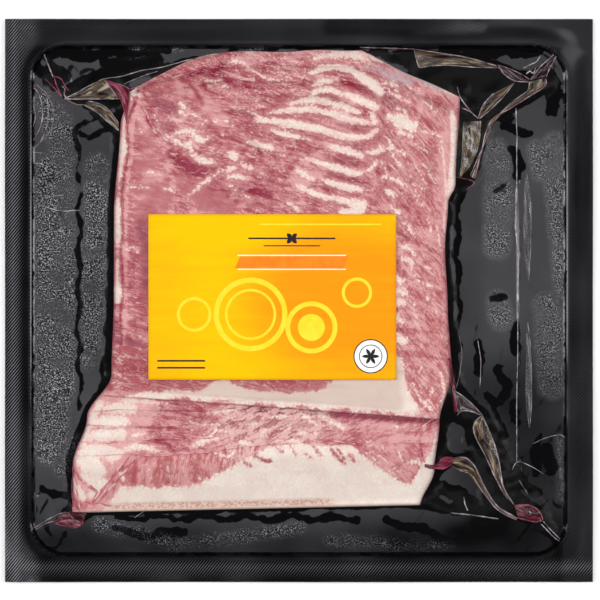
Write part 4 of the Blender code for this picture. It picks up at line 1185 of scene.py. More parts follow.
# %% [markdown]
# The seal is pressed between hot bars that are cut with a fine diamond knurl, so that the two films hold
# on many small points. Each diamond is one cell of a grid whose corners stand high and low in turn. The
# bars don't press evenly, and the knurl is sharp in some places and faint in others. Its high tips carry
# a painted highlight.

# %% Press the knurl into the seal
KNURL_WIDE, KNURL_LONG = 0.685, 0.85  # one cell, in mm
KNURL_COLUMNS, KNURL_ROWS = round(2 * HALF_X / KNURL_WIDE), round(2 * HALF_Y / KNURL_LONG)
KNURL_HEIGHT = 0.10
PRESSED_WELL = (
    ((14, 20, 5), (14, 160, 9), (13, 300, 6), (14, 450, 9), (16, 584, 6)),
    ((10, 567, 5), (120, 566, 9), (300, 567, 6), (590, 566, 7)),
    ((582, 60, 3), (582, 300, 5), (582, 560, 4)), ((20, 27, 3), (110, 27, 4), (240, 27, 1)),
    ((330, 27, 1), (480, 27, 4)),
)


def lay_knurl(u, v, level):
    x, y, z = lay_web_face(u, v, level)
    inside = inward(x, y, POCKET_RADIUS)
    high = np.where((np.rint(u * KNURL_COLUMNS) + np.rint(v * KNURL_ROWS)) % 2 > 0.5, 1.0, -1.0)
    lay_knurl.kept = 0.42 + 0.58 * zone(x, y, PRESSED_WELL, 6.0), high
    deep = KNURL_HEIGHT * (1.5 - 0.5 * rise(y, -126, -117))
    return x, y, z + deep * high * lay_knurl.kept[0] * rise(-inside, 0.9, 1.8)


knurl_mesh, knurl_x, knurl_y, _ = lay_sheet("seal_knurl", KNURL_COLUMNS, KNURL_ROWS, lay_knurl)
knurl_inside = inward(knurl_x, knurl_y, POCKET_RADIUS)
pressed_well, knurl_high = lay_knurl.kept
write_field(knurl_mesh, "knurl", pressed_well)
# Painted highlight on the knurl's high tips, strongest at the bottom and on the left.
sharp = 1.0 + 0.5 * (1.0 - rise(knurl_y, -124, -117)) + 0.3 * (1.0 - rise(knurl_x, -125, -118))
write_field(knurl_mesh, "peak", pressed_well * np.clip(knurl_high, 0.0, 1.0) * np.minimum(sharp, 1.5))
# the seal's painted shade
write_field(knurl_mesh, "dim", np.clip(seal_dim(knurl_x, knurl_y, knurl_inside), 0.0, 1.0))
cut_away(knurl_mesh, knurl_inside > -0.9)
seal_knurl = add_piece(knurl_mesh, None, smooth=False)
print("knurl triangles:", 2 * len(knurl_mesh.polygons))

# %% [markdown]
# ## Label
#
# The label is coated paper, stiff enough to bridge the slices' crests, so it only shows a gentle swell.
# It is a thin closed sheet at the place of its CAD solid. Its print is plain shapes of thin ink, each a
# small grid drawn into the shape and laid on the label, so that it follows the swell and stays crisp.

# %% Lay the label
LABEL_X, LABEL_Y = 500 * (label_low[0] + label_high[0]), 500 * (label_low[1] + label_high[1])
LABEL_WIDE, LABEL_LONG = 1000 * (label_high[0] - label_low[0]), 1000 * (label_high[1] - label_low[1])
LABEL_REACH = 6.2  # how far away the stiff label can lean on a crest, in mm
LABEL_THICKNESS, LABEL_LIFT = 0.2, 0.22
BED_COLUMNS, BED_ROWS = 60, 40
STIFFENING_PASSES = 6


def label_bed(x, y):
    """The highest point of the film within reach, which the stiff label bridges to."""
    highest = np.zeros_like(x)
    for step_x in np.linspace(-1.0, 1.0, 7):
        for step_y in np.linspace(-1.0, 1.0, 11):
            near = stack_height(x + step_x * LABEL_REACH, y + step_y * LABEL_REACH)
            highest = np.maximum(highest, near)
    return highest


bed_x = np.linspace(LABEL_X - 0.5 * LABEL_WIDE, LABEL_X + 0.5 * LABEL_WIDE, BED_COLUMNS + 1)
bed_y = np.linspace(LABEL_Y - 0.5 * LABEL_LONG, LABEL_Y + 0.5 * LABEL_LONG, BED_ROWS + 1)
bed = label_bed(*np.meshgrid(bed_x, bed_y))
for _ in range(STIFFENING_PASSES):  # paper has no sharp bends
    padded = np.pad(bed, 1, mode="edge")
    bed = 0.2 * (bed + padded[:-2, 1:-1] + padded[2:, 1:-1] + padded[1:-1, :-2] + padded[1:-1, 2:])


def label_level(x, y):
    """Height of the label's underside."""
    i = np.clip((x - bed_x[0]) / (bed_x[1] - bed_x[0]), 0, BED_COLUMNS - 0.001)
    j = np.clip((y - bed_y[0]) / (bed_y[1] - bed_y[0]), 0, BED_ROWS - 0.001)
    return SEAT_Z + LABEL_LIFT + FILM_THICKNESS + read_grid(bed, i, j)


def lay_label(u, v, level):
    x = LABEL_X + LABEL_WIDE * (u - 0.5)
    y = LABEL_Y + LABEL_LONG * (v - 0.5)
    return x, y, label_level(x, y) + LABEL_THICKNESS * level


label_mesh = lay_sheet("label_sheet", BED_COLUMNS, BED_ROWS, lay_label, thick=True)[0]
label_sheet = add_piece(label_mesh, "label")
print("label, mm:", round(LABEL_WIDE, 1), "by", round(LABEL_LONG, 1))


# %% Shapes of ink, each a grid drawn into a shape
INK_CELL = 1.9
RING_CELLS = 48
LEAF_COLUMNS, LEAF_ROWS = 14, 4
FIRST_INK, SECOND_INK, THIRD_INK = 0.03, 0.05, 0.07  # height of each layer of ink over the paper
DISC_X, DISC_Y = 45.3, -27.3  # middle of the disc, in mm from the label's middle
LEAVES_X, LEAVES_Y = 9.0, 27.0  # where the four leaves on the upper rule meet


def bar(x, y, wide, high, slant=0.0):
    """A straight bar, in mm from the label's middle."""
    def rule(u, v):
        return x + wide * (u - 0.5) + slant * (v - 0.5), y + high * (v - 0.5)

    return max(2, round(wide / INK_CELL)), max(2, round(high / INK_CELL)), rule


def leaf(x, y, turn, long, wide):
    """A leaf with two pointed ends, from its stalk at x, y."""
    c, s = math.cos(math.radians(turn)), math.sin(math.radians(turn))

    def rule(u, v):
        across = wide * (v - 0.5) * np.sin(math.pi * u) ** 0.8
        return x + c * long * u - s * across, y + s * long * u + c * across

    return LEAF_COLUMNS, LEAF_ROWS, rule


def ring(x, y, outer, inner):
    """A flat ring, or a disc if inner is 0."""
    def rule(u, v):
        radius, turn = inner + (outer - inner) * v, 2 * math.pi * u
        return x + radius * np.cos(turn), y + radius * np.sin(turn)

    return RING_CELLS, max(1, round((outer - inner) / INK_CELL)), rule


def lay_ink(name, shapes, lift):
    """Lays shapes on the label's face, and welds each ring where it closes."""
    bm = bmesh.new()
    for columns, rows, rule in shapes:
        made, u, v = flat_grid(bm, columns, rows)
        x, y = rule(u, v)
        x, y = LABEL_X + x, LABEL_Y + y
        z = label_level(x, y) + LABEL_THICKNESS + lift
        for i, vertex in enumerate(made):
            vertex.co = (MM * x[i], MM * y[i], MM * z[i])
    bmesh.ops.remove_doubles(bm, verts=bm.verts, dist=0.00001)
    empty = [face for face in bm.faces if face.calc_area() <= 1e-14]
    bmesh.ops.delete(bm, geom=empty, context="FACES")
    bm.normal_update()
    bmesh.ops.reverse_faces(bm, faces=[face for face in bm.faces if face.normal.z < 0])
    return add_piece(finished_mesh(bm, name), "label")


pale_print = lay_ink("print_pale_rings", [
    ring(-10.0, -8.0, 17.0, 14.6), ring(-10.0, -8.0, 11.8, 10.6),
    ring(18.0, -14.0, 12.0, 9.8), ring(18.0, -14.0, 6.2, 0.0),
    ring(-36.0, -8.0, 8.0, 6.6), ring(39.0, 2.0, 7.0, 5.6), bar(22.0, 33.5, 56.0, 0.7),
], FIRST_INK)
orange_print = lay_ink("print_orange_band", [bar(9.0, 16.0, 50.0, 5.4, 2.4)], FIRST_INK)
dark_print = lay_ink("print_dark_rules", [
    bar(LEAVES_X, LEAVES_Y, 40.0, 0.8), bar(9.0, 23.6, 26.0, 0.5),
    bar(-42.0, -29.4, 22.0, 0.8), bar(-42.0, -32.6, 22.0, 0.8),
    *[leaf(LEAVES_X, LEAVES_Y, turn, 3.2, 2.0) for turn in (45, 135, 225, 315)],
], SECOND_INK)
white_print = lay_ink("print_white_disc", [
    ring(DISC_X, DISC_Y, 7.7, 0.0), bar(9.0, 19.2, 50.0, 0.4), bar(9.0, 12.8, 50.0, 0.4),
], SECOND_INK)
dark_ring = lay_ink("print_dark_ring", [
    ring(DISC_X, DISC_Y, 7.9, 7.4), ring(DISC_X, DISC_Y, 5.4, 5.0),
    *[leaf(DISC_X, DISC_Y, turn, 4.0, 1.6) for turn in range(0, 360, 60)],
], THIRD_INK)
inks = (pale_print, orange_print, dark_print, white_print, dark_ring)
print("pieces of print:", len(inks), "triangles:", sum(2 * len(piece.data.polygons) for piece in inks))

# %% [markdown]
# ## Materials
#
# Every material is built from nodes. Colours are written as sRGB hex and turned to linear by one
# function, and pattern sizes are given in millimetres. One helper adds a node with its settings and
# wires or fills its inputs. The others name the few nodes that come back again and again.

# %% Node helpers
def linear(hex_colour):
    """An sRGB hex colour as linear RGBA."""
    parts = [int(hex_colour[i : i + 2], 16) / 255.0 for i in (0, 2, 4)]
    return (*(c / 12.92 if c <= 0.04045 else ((c + 0.055) / 1.055) ** 2.4 for c in parts), 1.0)


def per_mm(size):
    """The Scale that makes a pattern on Object coordinates repeat about every size mm."""
    return 1.0 / (size * MM)


def add(tree, kind, inputs=None, **settings):
    """Adds a node, sets its settings, and fills its inputs with values or links."""
    node = tree.nodes.new(kind)
    for name, value in settings.items():
        setattr(node, name, value)
    for key, value in (inputs or {}).items():
        socket = node.inputs[key]
        if isinstance(value, bpy.types.NodeSocket):
            tree.links.new(value, socket)
        else:
            socket.default_value = value
    return node


def new_material(name):
    """A material with nothing in its node tree but the output."""
    material = bpy.data.materials.new(name)
    material.use_nodes = True
    tree = material.node_tree
    tree.nodes.clear()
    return material, tree, add(tree, "ShaderNodeOutputMaterial")


def principled(tree, output, inputs):
    """A Principled surface, wired to the output."""
    surface = add(tree, "ShaderNodeBsdfPrincipled", inputs)
    tree.links.new(surface.outputs[0], output.inputs["Surface"])


# %% Sums of fields
def field(tree, name):
    """A field that was written on the mesh."""
    return add(tree, "ShaderNodeAttribute", attribute_name=name).outputs["Fac"]


def maths(tree, operation, a, b=0.5, clamp=False):
    return add(tree, "ShaderNodeMath", {0: a, 1: b}, operation=operation, use_clamp=clamp).outputs[0]


def times(tree, a, b):
    return maths(tree, "MULTIPLY", a, b)


def plus(tree, a, b, clamp=False):
    return maths(tree, "ADD", a, b, clamp)


def minus(tree, a, b):
    return maths(tree, "SUBTRACT", a, b)


def greater(tree, a, b):
    return maths(tree, "MAXIMUM", a, b)


def all_but(tree, share, by):
    """1 less the share times by."""
    return minus(tree, 1.0, times(tree, share, by))


def centred(tree, value, gain):
    """The value less 0.5, times gain. Noise swings about 0 then."""
    return times(tree, minus(tree, value, 0.5), gain)


def between(tree, value, low, high, to_low=0.0, to_high=1.0):
    """A smooth step from to_low, where the value is low, to to_high, where it is high."""
    return add(tree, "ShaderNodeMapRange", {
        "Value": value, "From Min": low, "From Max": high, "To Min": to_low, "To Max": to_high,
    }, interpolation_type="SMOOTHSTEP").outputs["Result"]


# %% Patterns and colours
def object_place(tree):
    return add(tree, "ShaderNodeTexCoord").outputs["Object"]


def stretched(tree, vector, by):
    """A pattern that is read here is drawn out along each axis where by is less than 1."""
    return add(tree, "ShaderNodeVectorMath", {0: vector, 1: by}, operation="MULTIPLY").outputs[0]


def noise(tree, vector, size, detail=3.0, rough=0.55, warp=0.0):
    """Noise with features about size mm wide."""
    return add(tree, "ShaderNodeTexNoise", {
        "Vector": vector, "Scale": per_mm(size), "Detail": detail, "Roughness": rough, "Distortion": warp,
    }).outputs["Fac"]


def middle_lines(tree, pattern, sharp):
    """Thin lines along which a noise passes its middle value."""
    off_middle = maths(tree, "ABSOLUTE", centred(tree, pattern, 1.0))
    return between(tree, all_but(tree, off_middle, sharp), 0.0, 1.0)


def bump(tree, height, strength, distance):
    return add(tree, "ShaderNodeBump", {
        "Height": height, "Strength": strength, "Distance": distance}).outputs[0]


def blend_colour(tree, share, first, second):
    """Two colours, hex or linked, mixed by a share of the second."""
    node = add(tree, "ShaderNodeMix", {"Factor": share}, data_type="RGBA", blend_type="MIX")
    for index, colour in ((6, first), (7, second)):
        if isinstance(colour, bpy.types.NodeSocket):
            tree.links.new(colour, node.inputs[index])
        else:
            node.inputs[index].default_value = linear(colour)
    return node.outputs[2]


# %% [markdown]
# ### Raw pork
#
# Lean meat is wet muscle: fine fibres in bundles about a millimetre wide, pink to wine red, with thin
# white webs between them. Fat is creamy and nearly even. The fields on the mesh say roughly where fat is,
# and noise at 2.5 mm and below breaks the border into the ragged edge that a knife leaves. The noise is
# read in the belly's own grain, from before it was sliced, so marbling runs on from slice to slice.

# %% Patterns in the grain
def pork_patterns(tree):
    """The patterns that fat and lean are made from."""
    grain = add(tree, "ShaderNodeAttribute", attribute_name="grain").outputs["Vector"]
    along_fibres = stretched(tree, grain, (0.34, 1.0, 1.0))
    granules = add(tree, "ShaderNodeTexVoronoi", {
        "Vector": grain, "Scale": per_mm(1.2), "Randomness": 1.0}, feature="F1")
    return SimpleNamespace(
        grain=grain,
        along_fibres=along_fibres,
        ragged=noise(tree, grain, 3.2, 5.0, 0.66, 0.3),
        fibre=noise(tree, along_fibres, 1.5, 4.0, 0.66, 0.4),
        crumbs=noise(tree, along_fibres, 2.0, 5.0, 0.70, 0.2),
        clouds=noise(tree, grain, 11.0, 2.0),
        fine=noise(tree, grain, 0.9, 3.0, 0.7),
        lines=noise(tree, stretched(tree, grain, (0.20, 1.0, 1.0)), 1.9, 3.0, 0.55, 0.5),
        granules=granules.outputs["Distance"],
        texture=between(tree, field(tree, "flecks"), 0.0, 0.40, 0.38, 1.0),
    )


# %% Where the meat is white
def muscle_webs(tree, pork):
    """White webs between the bundles, and long threads along them, where the field called net asks."""
    net = field(tree, "net")
    bend = add(tree, "ShaderNodeTexNoise", {"Vector": pork.grain, "Scale": per_mm(3.5)}).outputs["Color"]
    bend = add(tree, "ShaderNodeVectorMath", {0: bend, "Scale": 0.004}, operation="SCALE").outputs[0]
    bent = add(tree, "ShaderNodeVectorMath", {0: pork.along_fibres, 1: bend}, operation="ADD").outputs[0]
    edges = add(tree, "ShaderNodeTexVoronoi", {
        "Vector": bent, "Scale": per_mm(4.4)}, feature="DISTANCE_TO_EDGE").outputs["Distance"]
    webbed = times(tree, between(tree, edges, 0.0, 0.11, 0.9, 0.0), net)
    webbed = times(tree, webbed, between(tree, pork.ragged, 0.42, 0.58, 0.1, 1.0))
    threads = noise(tree, stretched(tree, pork.grain, (0.10, 1.0, 1.0)), 2.6, 2.0, 0.5, 0.25)
    in_places = times(tree, net, between(tree, pork.clouds, 0.40, 0.55, 0.35, 1.0))
    threads = times(tree, middle_lines(tree, threads, 42.0), in_places)
    return greater(tree, times(tree, webbed, 0.6), threads)


def white_share(tree, pork):
    """How white the meat is, and how deep inside the fat it lies, in mm."""
    # the border of the strokes is shaken by noise, and crumbly
    loose = minus(tree, 0.42, pork.granules)
    shake = plus(tree, centred(tree, pork.ragged, 4.2), centred(tree, pork.fibre, 4.0))
    shake = plus(tree, shake, times(tree, loose, 1.6))
    calm = all_but(tree, field(tree, "crisp"), 0.62)
    depth = plus(tree, field(tree, "fat"), times(tree, shake, calm))
    is_fat = between(tree, depth, -0.15, 0.30)
    halo = between(tree, depth, -1.8, 0.0, 0.0, 0.26)
    # crumbs and strands of fat that are too small to draw
    limit = minus(tree, 0.78, times(tree, field(tree, "flecks"), 0.38))
    over = plus(tree, minus(tree, pork.crumbs, limit), times(tree, loose, 0.16))
    crumbled = between(tree, over, -0.02, 0.05, 0.0, 0.80)
    strand = between(tree, pork.ragged, 0.42, 0.56, 0.0, 0.75)
    strand = times(tree, middle_lines(tree, pork.lines, 38.0), strand)
    strand = times(tree, strand, pork.texture)
    white = greater(tree, is_fat, greater(tree, crumbled, muscle_webs(tree, pork)))
    return greater(tree, white, greater(tree, strand, halo)), depth


# %% Lean and fat
def lean_colour(tree, pork):
    """Pink to wine red, uneven from the clouds down to the finest grain."""
    uneven = plus(tree, centred(tree, pork.fibre, 1.7), centred(tree, pork.fine, 1.1))
    uneven = plus(tree, centred(tree, pork.clouds, 1.0), uneven)
    uneven = plus(tree, uneven, centred(tree, pork.lines, 1.3))
    uneven = plus(tree, uneven, centred(tree, noise(tree, pork.grain, 6.0, 3.0, 0.6, 0.8), 1.2))
    red = plus(tree, field(tree, "red"), times(tree, uneven, pork.texture))
    lean = blend_colour(tree, between(tree, red, -0.1, 0.36), "d39a9b", "b2676c")
    lean = blend_colour(tree, between(tree, red, 0.32, 0.72), lean, "9d4553")
    lean = blend_colour(tree, between(tree, red, 0.70, 1.15), lean, "8f2540")
    warm = times(tree, field(tree, "warm"), between(tree, red, 0.0, 0.6, 0.25, 0.70))
    lean = blend_colour(tree, warm, lean, "b4595a")
    purple = times(tree, field(tree, "purple"), between(tree, pork.crumbs, 0.62, 0.40, 0.4, 1.0))
    return blend_colour(tree, purple, lean, "8c4453")


def fat_colour(tree, pork, depth):
    """Cream, with pits and bright grains, most where it is thin, and pink at its border."""
    fat = blend_colour(tree, between(tree, pork.clouds, 0.3, 0.7), "e6ddd3", "dfd1c8")
    thin = between(tree, depth, 1.2, 2.6, 1.0, 0.40)
    pitted = times(tree, between(tree, pork.granules, 0.25, 0.60, 0.0, 0.45), thin)
    fat = blend_colour(tree, pitted, fat, "dcaea5")
    bright = times(tree, between(tree, pork.fine, 0.47, 0.70, 0.0, 0.45), thin)
    fat = blend_colour(tree, bright, fat, "f6f0e9")
    fat = blend_colour(tree, between(tree, depth, 0.1, 1.3, 0.60, 0.0), fat, "e0a7a3")
    # Fat is tinted browner where the red field is high; on the upper front slice this is painted shade on its
    # fat band.
    return blend_colour(tree, between(tree, field(tree, "red"), 0.34, 0.76, 0.0, 0.62), fat, "bfa498")


# %% Raw pork material
def raw_pork():
    """Lean and fat, then the rind, the skin, the juice, and the film's sheen painted over them."""
    material, tree, output = new_material("raw pork, sliced")
    pork = pork_patterns(tree)
    white, depth = white_share(tree, pork)
    colour = blend_colour(tree, white, lean_colour(tree, pork), fat_colour(tree, pork, depth))
    tan = times(tree, field(tree, "rind"), between(tree, pork.granules, 0.72, 0.24, 0.34, 0.88))
    colour = blend_colour(tree, tan, colour, "b5826f")
    colour = blend_colour(tree, field(tree, "skin"), colour, "caae9e")
    juicy = times(tree, field(tree, "juice"), between(tree, pork.crumbs, 0.35, 0.6, 0.2, 0.7))
    colour = blend_colour(tree, juicy, colour, "c05a72")
    # painted sheen of the film over the meat
    painted_film_sheen = times(tree, field(tree, "film_sheen"), between(tree, pork.ragged, 0.40, 0.56, 0.25, 0.9))
    colour = blend_colour(tree, painted_film_sheen, colour, "b3a7ae")
    relief = plus(tree, times(tree, white, 0.4), pork.crumbs)
    principled(tree, output, {
        "Base Color": colour, "Roughness": 0.38, "IOR": 1.38, "Normal": bump(tree, relief, 0.5, 0.0004),
        "Specular IOR Level": 0.2,
    })
    return material


pork_material = raw_pork()
for piece in slices:
    piece.data.materials.append(pork_material)
print("nodes of the pork:", len(pork_material.node_tree.nodes))

# %% [markdown]
# ### Film, folds and black sheet
#
# Clear packing film shows only by its gloss, so it is a mix of a transparent and a glossy shader by the
# Fresnel share of its refractive index. The folds are several layers thick and hold some juice, which
# gives them a brown cast; their light streaks are painted highlights. The black sheet is coextruded
# polypropylene: nearly black, glossy, with fine orange peel where the film was welded to it. Its glints
# and pits, and the shade where the film stands off, are painted into its colour and gloss.

# %% Film material
def clear_film():
    """Gloss over nothing. The field called free is 0 where the film is welded down, and the share of
    gloss elsewhere: most on the meat, where the film is tight and smooth."""
    material, tree, output = new_material("clear barrier film, drawn tight")
    free = field(tree, "free")
    normal = bump(tree, noise(tree, object_place(tree), 9.0, 1.0, 0.5), 1.0, 0.0016)
    share = times(tree, add(tree, "ShaderNodeFresnel", {"IOR": 1.45, "Normal": normal}).outputs[0], free)
    clear = add(tree, "ShaderNodeBsdfTransparent").outputs[0]
    roughness = between(tree, free, 0.26, 0.30, 0.32, 0.10)
    gloss = add(tree, "ShaderNodeBsdfGlossy", {"Roughness": roughness, "Normal": normal}).outputs[0]
    mixed = add(tree, "ShaderNodeMixShader", {0: share, 1: clear, 2: gloss}).outputs[0]
    tree.links.new(mixed, output.inputs["Surface"])
    return material


top_film.data.materials.append(clear_film())

# %% Folded film materials
JUICE_SHADES = ("42121f", "842a41", "b4607a")
STREAK_STEPS = (0.40, 0.54, 0.70)  # where the streaks turn from dark to middle to light


def folded_film(name, shades, alpha, steps=STREAK_STEPS, juice=JUICE_SHADES, wrinkled=0.5):
    """Film in several layers. Light and dark streaks run along the fold, where the layers slide over each
    other; the light ones are painted highlights.
    """
    material, tree, output = new_material(name)
    fold = add(tree, "ShaderNodeAttribute", attribute_name="fold").outputs["Vector"]
    streak = add(tree, "ShaderNodeTexNoise", {
        "Vector": fold, "Scale": 1.0, "Detail": 3.0, "Roughness": 0.6, "Distortion": 0.3}).outputs["Fac"]
    juicy = between(tree, field(tree, "red"), 0.30, 1.0, 0.10, 1.0)
    dark, middle, light = [blend_colour(tree, juicy, *pair) for pair in zip(shades, juice)]
    colour = blend_colour(tree, between(tree, streak, steps[0], steps[1]), dark, middle)
    colour = blend_colour(tree, between(tree, streak, steps[1], steps[2]), colour, light)
    principled(tree, output, {
        "Base Color": colour, "Roughness": 0.16, "IOR": 1.45, "Alpha": alpha,
        "Normal": bump(tree, streak, wrinkled, 0.0008),
    })
    return material


# In all folds and creases the light streaks are painted highlights.
panels["olive"].data.materials.append(folded_film(
    "doubled film, olive", ("0c0b09", "4f4832", "a79b80"), 0.80))
panels["red"].data.materials.append(folded_film(
    "doubled film with juice in it", ("14090a", "4e1b24", "a2666a"), 0.74))
panels["juice"].data.materials.append(folded_film(
    "doubled film, full of juice", ("1c080d", "6c1c34", "b86076"), 0.76))
# The blister's grey is a painted reflection.
panels["grey_sheen"].data.materials.append(folded_film(
    "film blister over the black sheet, grey painted sheen", ("3a3c42", "5e626a", "8e939c"), 0.42, wrinkled=0.05))
panels["clear"].data.materials.append(folded_film(
    "doubled film, clear", ("0a0a0b", "262527", "8b898c"), 0.60))
creases.data.materials.append(folded_film(
    "crease in film", ("161415", "868086", "c9c3c8"), 0.82, (0.34, 0.48, 0.62)))
juice_lines.data.materials.append(folded_film(
    "crease in film, over the meat, with juice in it", ("b05060", "c87880", "ecc8c6"), 0.60,
    (0.36, 0.50, 0.62), ("b24356", "cc6a76", "f0d6d2")))


# %% Black sheet material
def black_sheet():
    """Glossy black with a grain of bright dots and dark pits where the film is welded to it, which are
    painted highlights and painted shade of the orange peel. Painted highlights also lie on the knurl's
    tips and the long ridge, and painted shade makes the sheet darker and less glossy in places.
    """
    material, tree, output = new_material("black polypropylene, formed and welded")
    place = object_place(tree)
    on_right = between(tree, add(tree, "ShaderNodeSeparateXYZ", {0: place}).outputs[0], 0.05, 0.09)
    patches = noise(tree, stretched(tree, place, (0.7, 1.0, 1.0)), 10.0, 3.0, 0.6)
    patches = times(tree, field(tree, "peel"), between(tree, patches, 0.38, 0.54, 0.25, 1.0))
    grit = noise(tree, place, 0.62, 2.0, 0.7)
    # Painted highlights and shade of the orange peel: bright dots, dark pits, and a painted sheen on the
    # right.
    dots = times(tree, between(tree, grit, 0.53, 0.63), patches)
    dots = times(tree, dots, all_but(tree, on_right, 0.4))
    pits = times(tree, between(tree, grit, 0.53, 0.44), patches)
    painted_peel_sheen = times(tree, times(tree, on_right, patches), minus(tree, 0.13, times(tree, pits, 0.13)))
    height = times(tree, times(tree, grit, patches), 0.12)
    height = plus(tree, height, times(tree, noise(tree, place, 24.0, 1.0, 0.5), 0.5))
    # painted shade: darker and less glossy where the film stands off the sheet, in the pits, and where the
    # mesh says so
    shade = plus(tree, field(tree, "painted_film_shade"), centred(tree, noise(tree, place, 5.0, 3.0, 0.55), 1.4))
    painted_shade = greater(tree, between(tree, shade, 0.34, 0.62), times(tree, pits, 0.95))
    uneven = centred(tree, noise(tree, place, 40.0, 2.0, 0.5), 0.8)
    painted_shade = greater(tree, painted_shade, plus(tree, field(tree, "dim"), uneven, clamp=True))
    # Painted highlights in the base colour: the peel's dots and sheen, the knurl's tips and the long ridge.
    glints = times(tree, greater(tree, dots, painted_peel_sheen), all_but(tree, painted_shade, 0.85))
    tips = between(tree, field(tree, "peak"), 0.50, 1.50, 0.0, 0.85)
    glints = greater(tree, glints, times(tree, tips, all_but(tree, painted_shade, 0.68)))
    glints = greater(tree, glints, times(tree, field(tree, "ridge_highlight"), 0.75))
    # painted shade darkens the black
    black = blend_colour(tree, painted_shade, "111113", "050506")
    principled(tree, output, {
        "Base Color": blend_colour(tree, glints, black, "b0b0b6"),
        "IOR": 1.5,
        "Roughness": plus(tree, 0.13, times(tree, field(tree, "knurl"), 0.10)),
        "Specular Tint": (0.93, 0.92, 1.0, 1.0),
        "Specular IOR Level": minus(tree, 0.5, times(tree, painted_shade, 0.485)),
        "Normal": bump(tree, height, 1.0, 0.001),
    })
    return material


sheet_material = black_sheet()
web_face.data.materials.append(sheet_material)
seal_knurl.data.materials.append(sheet_material)
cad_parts["bottom_web"].data.materials.clear()
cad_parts["bottom_web"].data.materials.append(sheet_material)
print("nodes of the sheet:", len(sheet_material.node_tree.nodes))


# %% Label materials
def coated_paper():
    """Yellow with an airbrushed oval of orange right of the middle, and a touch of it at the left end."""
    material, tree, output = new_material("coated label paper, printed yellow to orange")
    place = object_place(tree)
    parts = add(tree, "ShaderNodeSeparateXYZ", {0: place})
    turned = add(tree, "ShaderNodeMapping", {
        "Vector": place, "Rotation": (0, 0, math.radians(-16)), "Scale": (0.16, 1, 1)}).outputs[0]
    oval = add(tree, "ShaderNodeMapping", {
        "Vector": place, "Location": (-0.0236, -0.0016, 0.0), "Scale": (1.0, 1.18, 0.0)}).outputs[0]
    away = add(tree, "ShaderNodeVectorMath", {0: oval}, operation="LENGTH").outputs["Value"]
    left_end = between(tree, parts.outputs[0], -0.066, -0.030, 0.26, 0.0)
    orange = plus(tree, between(tree, away, 0.067, 0.025), left_end)
    orange = minus(tree, orange, between(tree, parts.outputs[1], 0.018, 0.036, 0.0, 0.2))
    streaks = centred(tree, noise(tree, turned, 5.0, 4.0, 0.6), 0.8)
    orange = plus(tree, orange, streaks, clamp=True)
    principled(tree, output, {
        "Base Color": blend_colour(tree, orange, "f8bf06", "f29412"), "Roughness": 0.6,
        "Specular IOR Level": 0.03,
    })
    return material


def ink(name, colour, second):
    """Ink with soft clouds of a second tone."""
    material, tree, output = new_material(name)
    cloudy = between(tree, noise(tree, object_place(tree), 4.0, 3.0, 0.5), 0.3, 0.7)
    principled(tree, output, {
        "Base Color": blend_colour(tree, cloudy, colour, second), "Roughness": 0.6,
        "Specular IOR Level": 0.04,
    })
    return material


label_sheet.data.materials.append(coated_paper())
pale_print.data.materials.append(ink("pale yellow ink", "fddc3c", "fdd22a"))
orange_print.data.materials.append(ink("orange ink", "ee7d1e", "f08a24"))
dark_print.data.materials.append(ink("dark brown ink", "2b2230", "33282f"))
white_print.data.materials.append(ink("white ink", "f4f2ee", "ffffff"))
dark_ring.data.materials.append(ink("black ink", "262329", "302c33"))
print("materials:", len(bpy.data.materials))

# %% [markdown]
# ## Light, floor and camera
#
# The photograph looks straight down on the pack from well above, so a long lens does it. Glossy black
# shows whatever it reflects: one softbox overhead gives the even grey on flat sheet, and two bright
# strips at the sides draw the thin highlights along folds and the sparkle on orange peel. The rest of
# the room is dark, which leaves every slope black.

# %% Light, floor and camera
scene = bpy.context.scene
scene.view_settings.view_transform = "Standard"


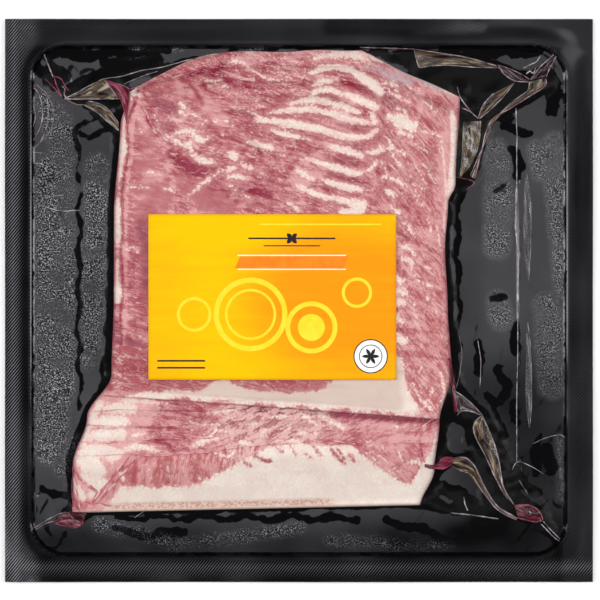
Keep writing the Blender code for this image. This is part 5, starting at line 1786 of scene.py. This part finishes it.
def add_panel(name, place, wide, long, radiance):
    """A flat panel of light that faces the pack."""
    light = bpy.data.lights.new(name, "AREA")
    light.shape, light.size, light.size_y = "RECTANGLE", wide, long
    light.energy = radiance * math.pi * wide * long
    panel = bpy.data.objects.new(name, light)
    scene.collection.objects.link(panel)
    panel.location = place
    toward = -panel.location.normalized()
    panel.rotation_euler = toward.to_track_quat("-Z", "Y").to_euler()
    panel.visible_camera = False
    return panel


add_panel("overhead_softbox", (-0.08, 0.06, 1.6), 1.2, 1.2, 1.9)
add_panel("left_strip", (-1.15, 0.05, 1.0), 0.22, 1.3, 11.0)
add_panel("right_strip", (1.15, 0.05, 1.0), 0.22, 1.3, 11.0)
# a wide fill that lights the meat but leaves no reflection in the black sheet
fill = add_panel("wide_fill", (0.0, 0.0, 1.9), 2.6, 2.6, 0.90)
fill.visible_glossy = False
world = bpy.data.worlds.new("studio")
world.use_nodes = True
world.node_tree.nodes["Background"].inputs[0].default_value = (1.0, 1.0, 1.0, 1.0)
world.node_tree.nodes["Background"].inputs[1].default_value = 0.10
scene.world = world

bm = bmesh.new()
bmesh.ops.create_grid(bm, x_segments=1, y_segments=1, size=2.5)
floor_mesh = finished_mesh(bm, "floor")
floor = bpy.data.objects.new("floor", floor_mesh)
scene.collection.objects.link(floor)
floor.location.z = -0.0002  # just clear of the pack's underside
floor_material, tree, output = new_material("white paper sweep")
principled(tree, output, {
    "Base Color": (0.95, 0.95, 0.95, 1.0), "Roughness": 0.9, "Specular IOR Level": 0.0,
})
floor_mesh.materials.append(floor_material)

CAMERA_HIGH = 1.5
SCALE_PLANE = 0.003  # the height at which the photograph's scale holds
PHOTO_SIZE = 600
FRAME_WIDE = PHOTO_SIZE * PX * MM
lens = bpy.data.cameras.new("camera")
lens.sensor_width = 36.0
lens.lens = lens.sensor_width * (CAMERA_HIGH - SCALE_PLANE) / FRAME_WIDE
camera = bpy.data.objects.new("camera", lens)
scene.collection.objects.link(camera)
middle_x, middle_y = at(PHOTO_SIZE / 2, PHOTO_SIZE / 2)
camera.location = (middle_x * MM, middle_y * MM, CAMERA_HIGH)
scene.camera = camera
print("lens, mm:", round(lens.lens, 1))
